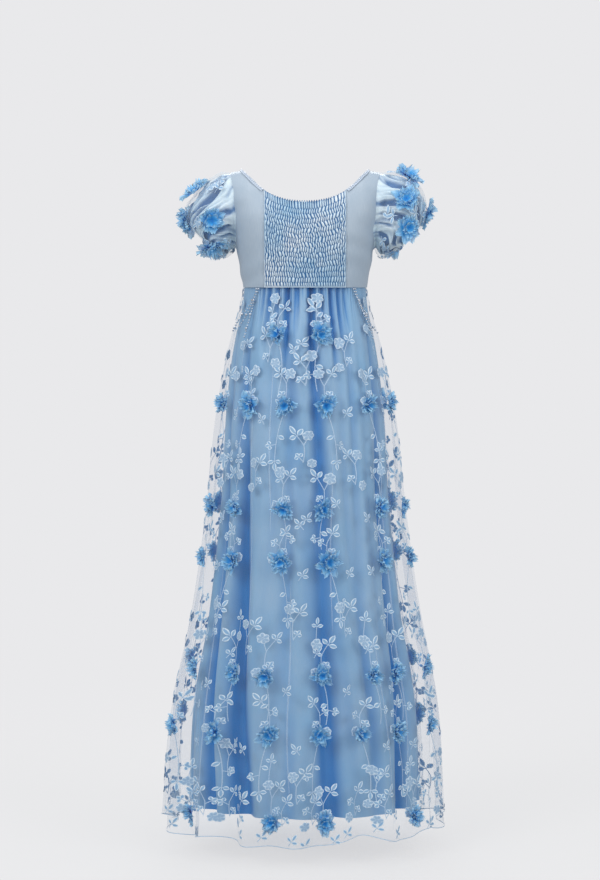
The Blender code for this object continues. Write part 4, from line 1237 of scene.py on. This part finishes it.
SLEEVE_FLOWERS = {
    "left": [
        # ring, angle from the sleeve's top towards the back
        (3.0, 12.0),
        (2.7, 88.0),
        (4.7, 25.0),
        (4.0, 128.0),
        (2.4, -70.0),
        (4.2, -55.0),
        (3.2, -130.0),
    ],
    "right": [
        (2.2, 15.0),
        (2.6, 62.0),
        (4.0, 92.0),
        (4.6, 18.0),
        (2.2, -65.0),
        (4.2, -60.0),
        (3.2, -125.0),
    ],
}
RINGS = 6
# The sleeves' near-white satin colour is a painted highlight on the crests, and the deep blue a
# painted shade in the creases.
SLEEVE_BLUE, SLEEVE_SHADE, SLEEVE_PAINTED_SHADE = "#F6FDFF", "#C8E6F4", "#0A62A4"
SATIN_SLEEVE_CUT, NET_SLEEVE_CUT = (0.55, 0.14, 0.066), (0.52, 0.135, 0.057)
SLEEVE_SPRAYS = 30
SLEEVE_NET_BLUE, SLEEVE_NET_CROWDED, SLEEVE_NET_COVER = "#C2DAEA", "#E6F2FA", 0.15
SLEEVE_FLOWER_SCALE, SLEEVE_FLOWER_TILT = 1.20, 0.35


def crest(turn):
    """A smooth wave from 0 to 1."""
    return 0.5 + 0.5 * np.cos(turn)


def crumple(side, ring, angle):
    """A few sharp creases that fan out from the head and small ones between, from 0 to 1."""
    phase = 0.6 if side == "left" else 2.3
    turn = np.radians(angle)
    bent = turn + 0.22 * np.sin(0.9 * ring + 2 * turn + phase)
    first = crest(9 * bent + phase + 0.9 * np.sin(3 * turn + ring))
    second = crest(17 * bent - 1.1 * ring + 2 * phase)
    third = crest(41 * bent + 1.9 * ring + 3 * np.sin(5 * turn))
    where = 0.5 + 0.5 * np.sin(4 * turn + 1.7 * ring + phase)
    swell = np.sin(np.clip(ring / RINGS, 0.06, 0.97) * np.pi) ** 0.5
    return swell * (first ** 7 * (0.45 + 0.55 * where) + 0.7 * second ** 8 * (1.1 - where)
                    + 0.16 * third ** 3)


def head_place(angle):
    """Angle round the body and height of the armhole's edge where the sleeve's head meets it."""
    from_top = apart(angle, 0.0)
    return armhole_place(1.0 - np.abs(from_top) / 180.0, from_top < 0)


def sleeve_points(side, ring, angle, crumpled=NET_CRUMPLE):
    """Points of the net puff of the left-hand form, from ring 0 at the armhole to the cuff."""
    head = bodice_points(*head_place(angle)) + (SLEEVE_SHIFT, 0.0, 0.0)
    table = [(number + 1, *row) for number, row in enumerate(SLEEVE_OUTLINES[side])]
    top_x, top_z, low_x, low_z, half_deep = curve(table, np.maximum(ring, 1.0))
    phase = 25.0 if side == "left" else 70.0
    warped = angle + 9.0 * np.sin(np.radians(2 * angle + phase))
    swell = np.clip(np.sin(np.clip(ring / RINGS, 0, 1) * np.pi), 0, 1) ** 0.6
    pleat = crest(np.radians(HEAD_PLEATS * warped + phase)) ** 2
    near_cuff = np.maximum(0.0, ring / RINGS - 0.6) / 0.4
    gather = crest(np.radians(CUFF_GATHERS * angle))
    fine = crest(np.radians(41 * angle + 30 * np.sin(np.radians(3 * angle))))
    size = 0.6 + 0.4 * np.sin(np.radians(2 * angle + 3 * phase))
    cut = (PLEAT_DEPTH * swell * pleat * size + CUFF_GATHER_DEPTH * near_cuff * gather
           + 0.0010 * near_cuff * fine + crumpled * crumple(side, ring, angle))
    turn = np.radians(angle)
    up = np.stack([(top_x - low_x) / 2, 0 * top_x, (top_z - low_z) / 2], -1)
    middle = np.stack([(top_x + low_x) / 2, 0 * top_x, (top_z + low_z) / 2], -1)
    shrunk = (np.cos(turn) * (1.0 - cut / np.linalg.norm(up, axis=-1)))[..., None]
    puff = middle + up * shrunk
    puff[..., 1] += (half_deep - cut) * np.sin(turn)
    return head + (puff - head) * np.clip(ring, 0, 1)[..., None]


def sleeve_normals(side, ring, angle):
    """Unit directions off the puff's face."""
    around = sleeve_points(side, ring, angle + 3.0) - sleeve_points(side, ring, angle - 3.0)
    along = (sleeve_points(side, np.minimum(ring + 0.15, RINGS), angle)
             - sleeve_points(side, np.maximum(ring - 0.15, 0), angle))
    return unit(np.cross(along, around))


def head_allowance(side, angle):
    """The edge of the head's seam allowance, turned in under the bodice's cloth."""
    head_angle, z = head_place(angle)
    edge = bodice_points(head_angle, z)
    beside = bodice_points(head_angle + 0.5, z) - bodice_points(head_angle - 0.5, z)
    below = bodice_points(head_angle, z - 0.002) - edge
    off = turned(unit(np.cross(beside, below)), edge + (0.0, 0.0, 0.2))
    start = np.zeros(len(angle))
    seam = sleeve_points(side, start, angle + 2.0) - sleeve_points(side, start, angle - 2.0)
    inward = turned(unit(np.cross(off, seam)), edge - edge.mean(axis=0))
    return pulls(edge + inward * SLEEVE_ALLOWANCE) - off * ALLOWANCE_DEPTH


def on_sleeve(side, middle_ring, middle_angle):
    """A function that places flat points on the net puff's face, round this spot on it."""
    def place(x, y, lift):
        ring = np.clip(middle_ring + y / SPRAY_RING, 0.1, RINGS - 0.1)
        angle = middle_angle + np.degrees(x / SPRAY_TURN)
        return (sleeve_points(side, ring, angle)
                + sleeve_normals(side, ring, angle) * lift[..., None])
    return place


sleeve_net_finish = tulle("doubled_nylon_tulle", SLEEVE_NET_BLUE, SLEEVE_NET_CROWDED,
                          SLEEVE_NET_COVER)
sleeve_finish = satin("sleeve_polyester_satin", SLEEVE_BLUE, SLEEVE_SHADE, 0.35, SLEEVE_PAINTED_SHADE,
                      0.32)
for side, mirror in (("left", 1.0), ("right", -1.0)):
    flip = np.array((mirror, 1.0, 1.0))
    width, length, area = SATIN_SLEEVE_CUT
    puff, across, down = flat_cloth(f"satin_puff_{side}", width, length, 240, 60)
    ring, angle = RINGS * (1 - down), 360.0 * across
    depth = curve(list(enumerate(SATIN_PUFF_DEPTHS)), ring)
    points = (sleeve_points(side, ring, angle, SATIN_CRUMPLE)
              - sleeve_normals(side, ring, angle) * depth.T)
    points[down == 1.0] = head_allowance(side, angle[down == 1.0])
    points = points * flip
    # Painted shade: the satin turns deeper blue down in its creases.
    lay(puff, sleeve_finish, points, points.mean(axis=0), 1.9 * crumple(side, ring, angle))
    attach(puff, "root")
    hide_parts(f"sleeve_satin_{side}")

    width, length, area = NET_SLEEVE_CUT
    net_puff, across, down = flat_cloth(f"net_puff_{side}", width, length, 200, 54)
    points = sleeve_points(side, RINGS * (1 - down), 360.0 * across) * flip
    lay(net_puff, sleeve_net_finish, points, points.mean(axis=0))
    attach(net_puff, "root")
    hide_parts(f"sleeve_net_{side}")

    sewn = []
    for number in range(SLEEVE_SPRAYS):
        needle = Needle()
        heading = math.tau * uneven(number * 5 + 2)
        if number % 3 == 0:
            needle.flower((0.0, 0.0), SEWN_PETAL, heading)
        else:
            twig, heading = needle.stem((0.0, 0.0), heading, 0.12, 0.018)
            needle.tip(twig[-1], heading, 0.85)
        sewn.append(sew(needle, on_sleeve(side, 1.0 + 4.2 * uneven(number * 3 + (mirror > 0)),
                                          360.0 * (number + 0.5 * uneven(number + 8))
                                          / SLEEVE_SPRAYS)))
    embroidery = add_embroidery(f"sleeve_{side}", sewn, flip)

    ring, angle = np.array(SLEEVE_FLOWERS[side], float).T
    flowers = many(f"sleeve_flowers_{side}",
                   petals(sleeve_points(side, ring, angle) * flip,
                          sleeve_normals(side, ring, angle) * flip, flower_number,
                          SLEEVE_FLOWER_SCALE, SLEEVE_FLOWER_TILT), petal_shape, organza_finish)
    flower_number += len(ring)
    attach(flowers, "root")

# ================================================================ bead strands
# Short strings of small pearls with larger drops, sewn to the empire seam at both sides of the
# back and hanging down over the net.

STRANDS = [
    # start angle, end angle, length
    (44.0, 82.0, 0.088),
    (45.5, 64.0, 0.078),
    (47.0, 54.0, 0.100),
    (-46.0, -76.0, 0.092),
    (-47.5, -60.0, 0.062),
    (-49.0, -66.0, 0.104),
]
STRAND_STEP = 0.0054
BEAD_RADIUS, DROP_RADIUS = 0.0020, 0.0032
DROP_EVERY = 5                  # beads
SILVER = "#C9D0DA"

centres, radii = [], []
for start, end, length in STRANDS:
    count = int(length / STRAND_STEP)
    share = np.linspace(0.0, 1.0, count)
    angle = start + (end - start) * share ** 1.3
    z = WAIST_Z - 0.003 - length * share
    drop = np.arange(count) % DROP_EVERY == DROP_EVERY - 1
    radius = np.where(drop, DROP_RADIUS, BEAD_RADIUS)
    centres.append(net_points(angle, z, radius + 0.0012))
    radii.append(radius)
strands = beads("bead_strands", np.concatenate(centres), np.concatenate(radii),
                pearl_finish("silver_lined_glass", SILVER, 0.8))
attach(strands, "root")
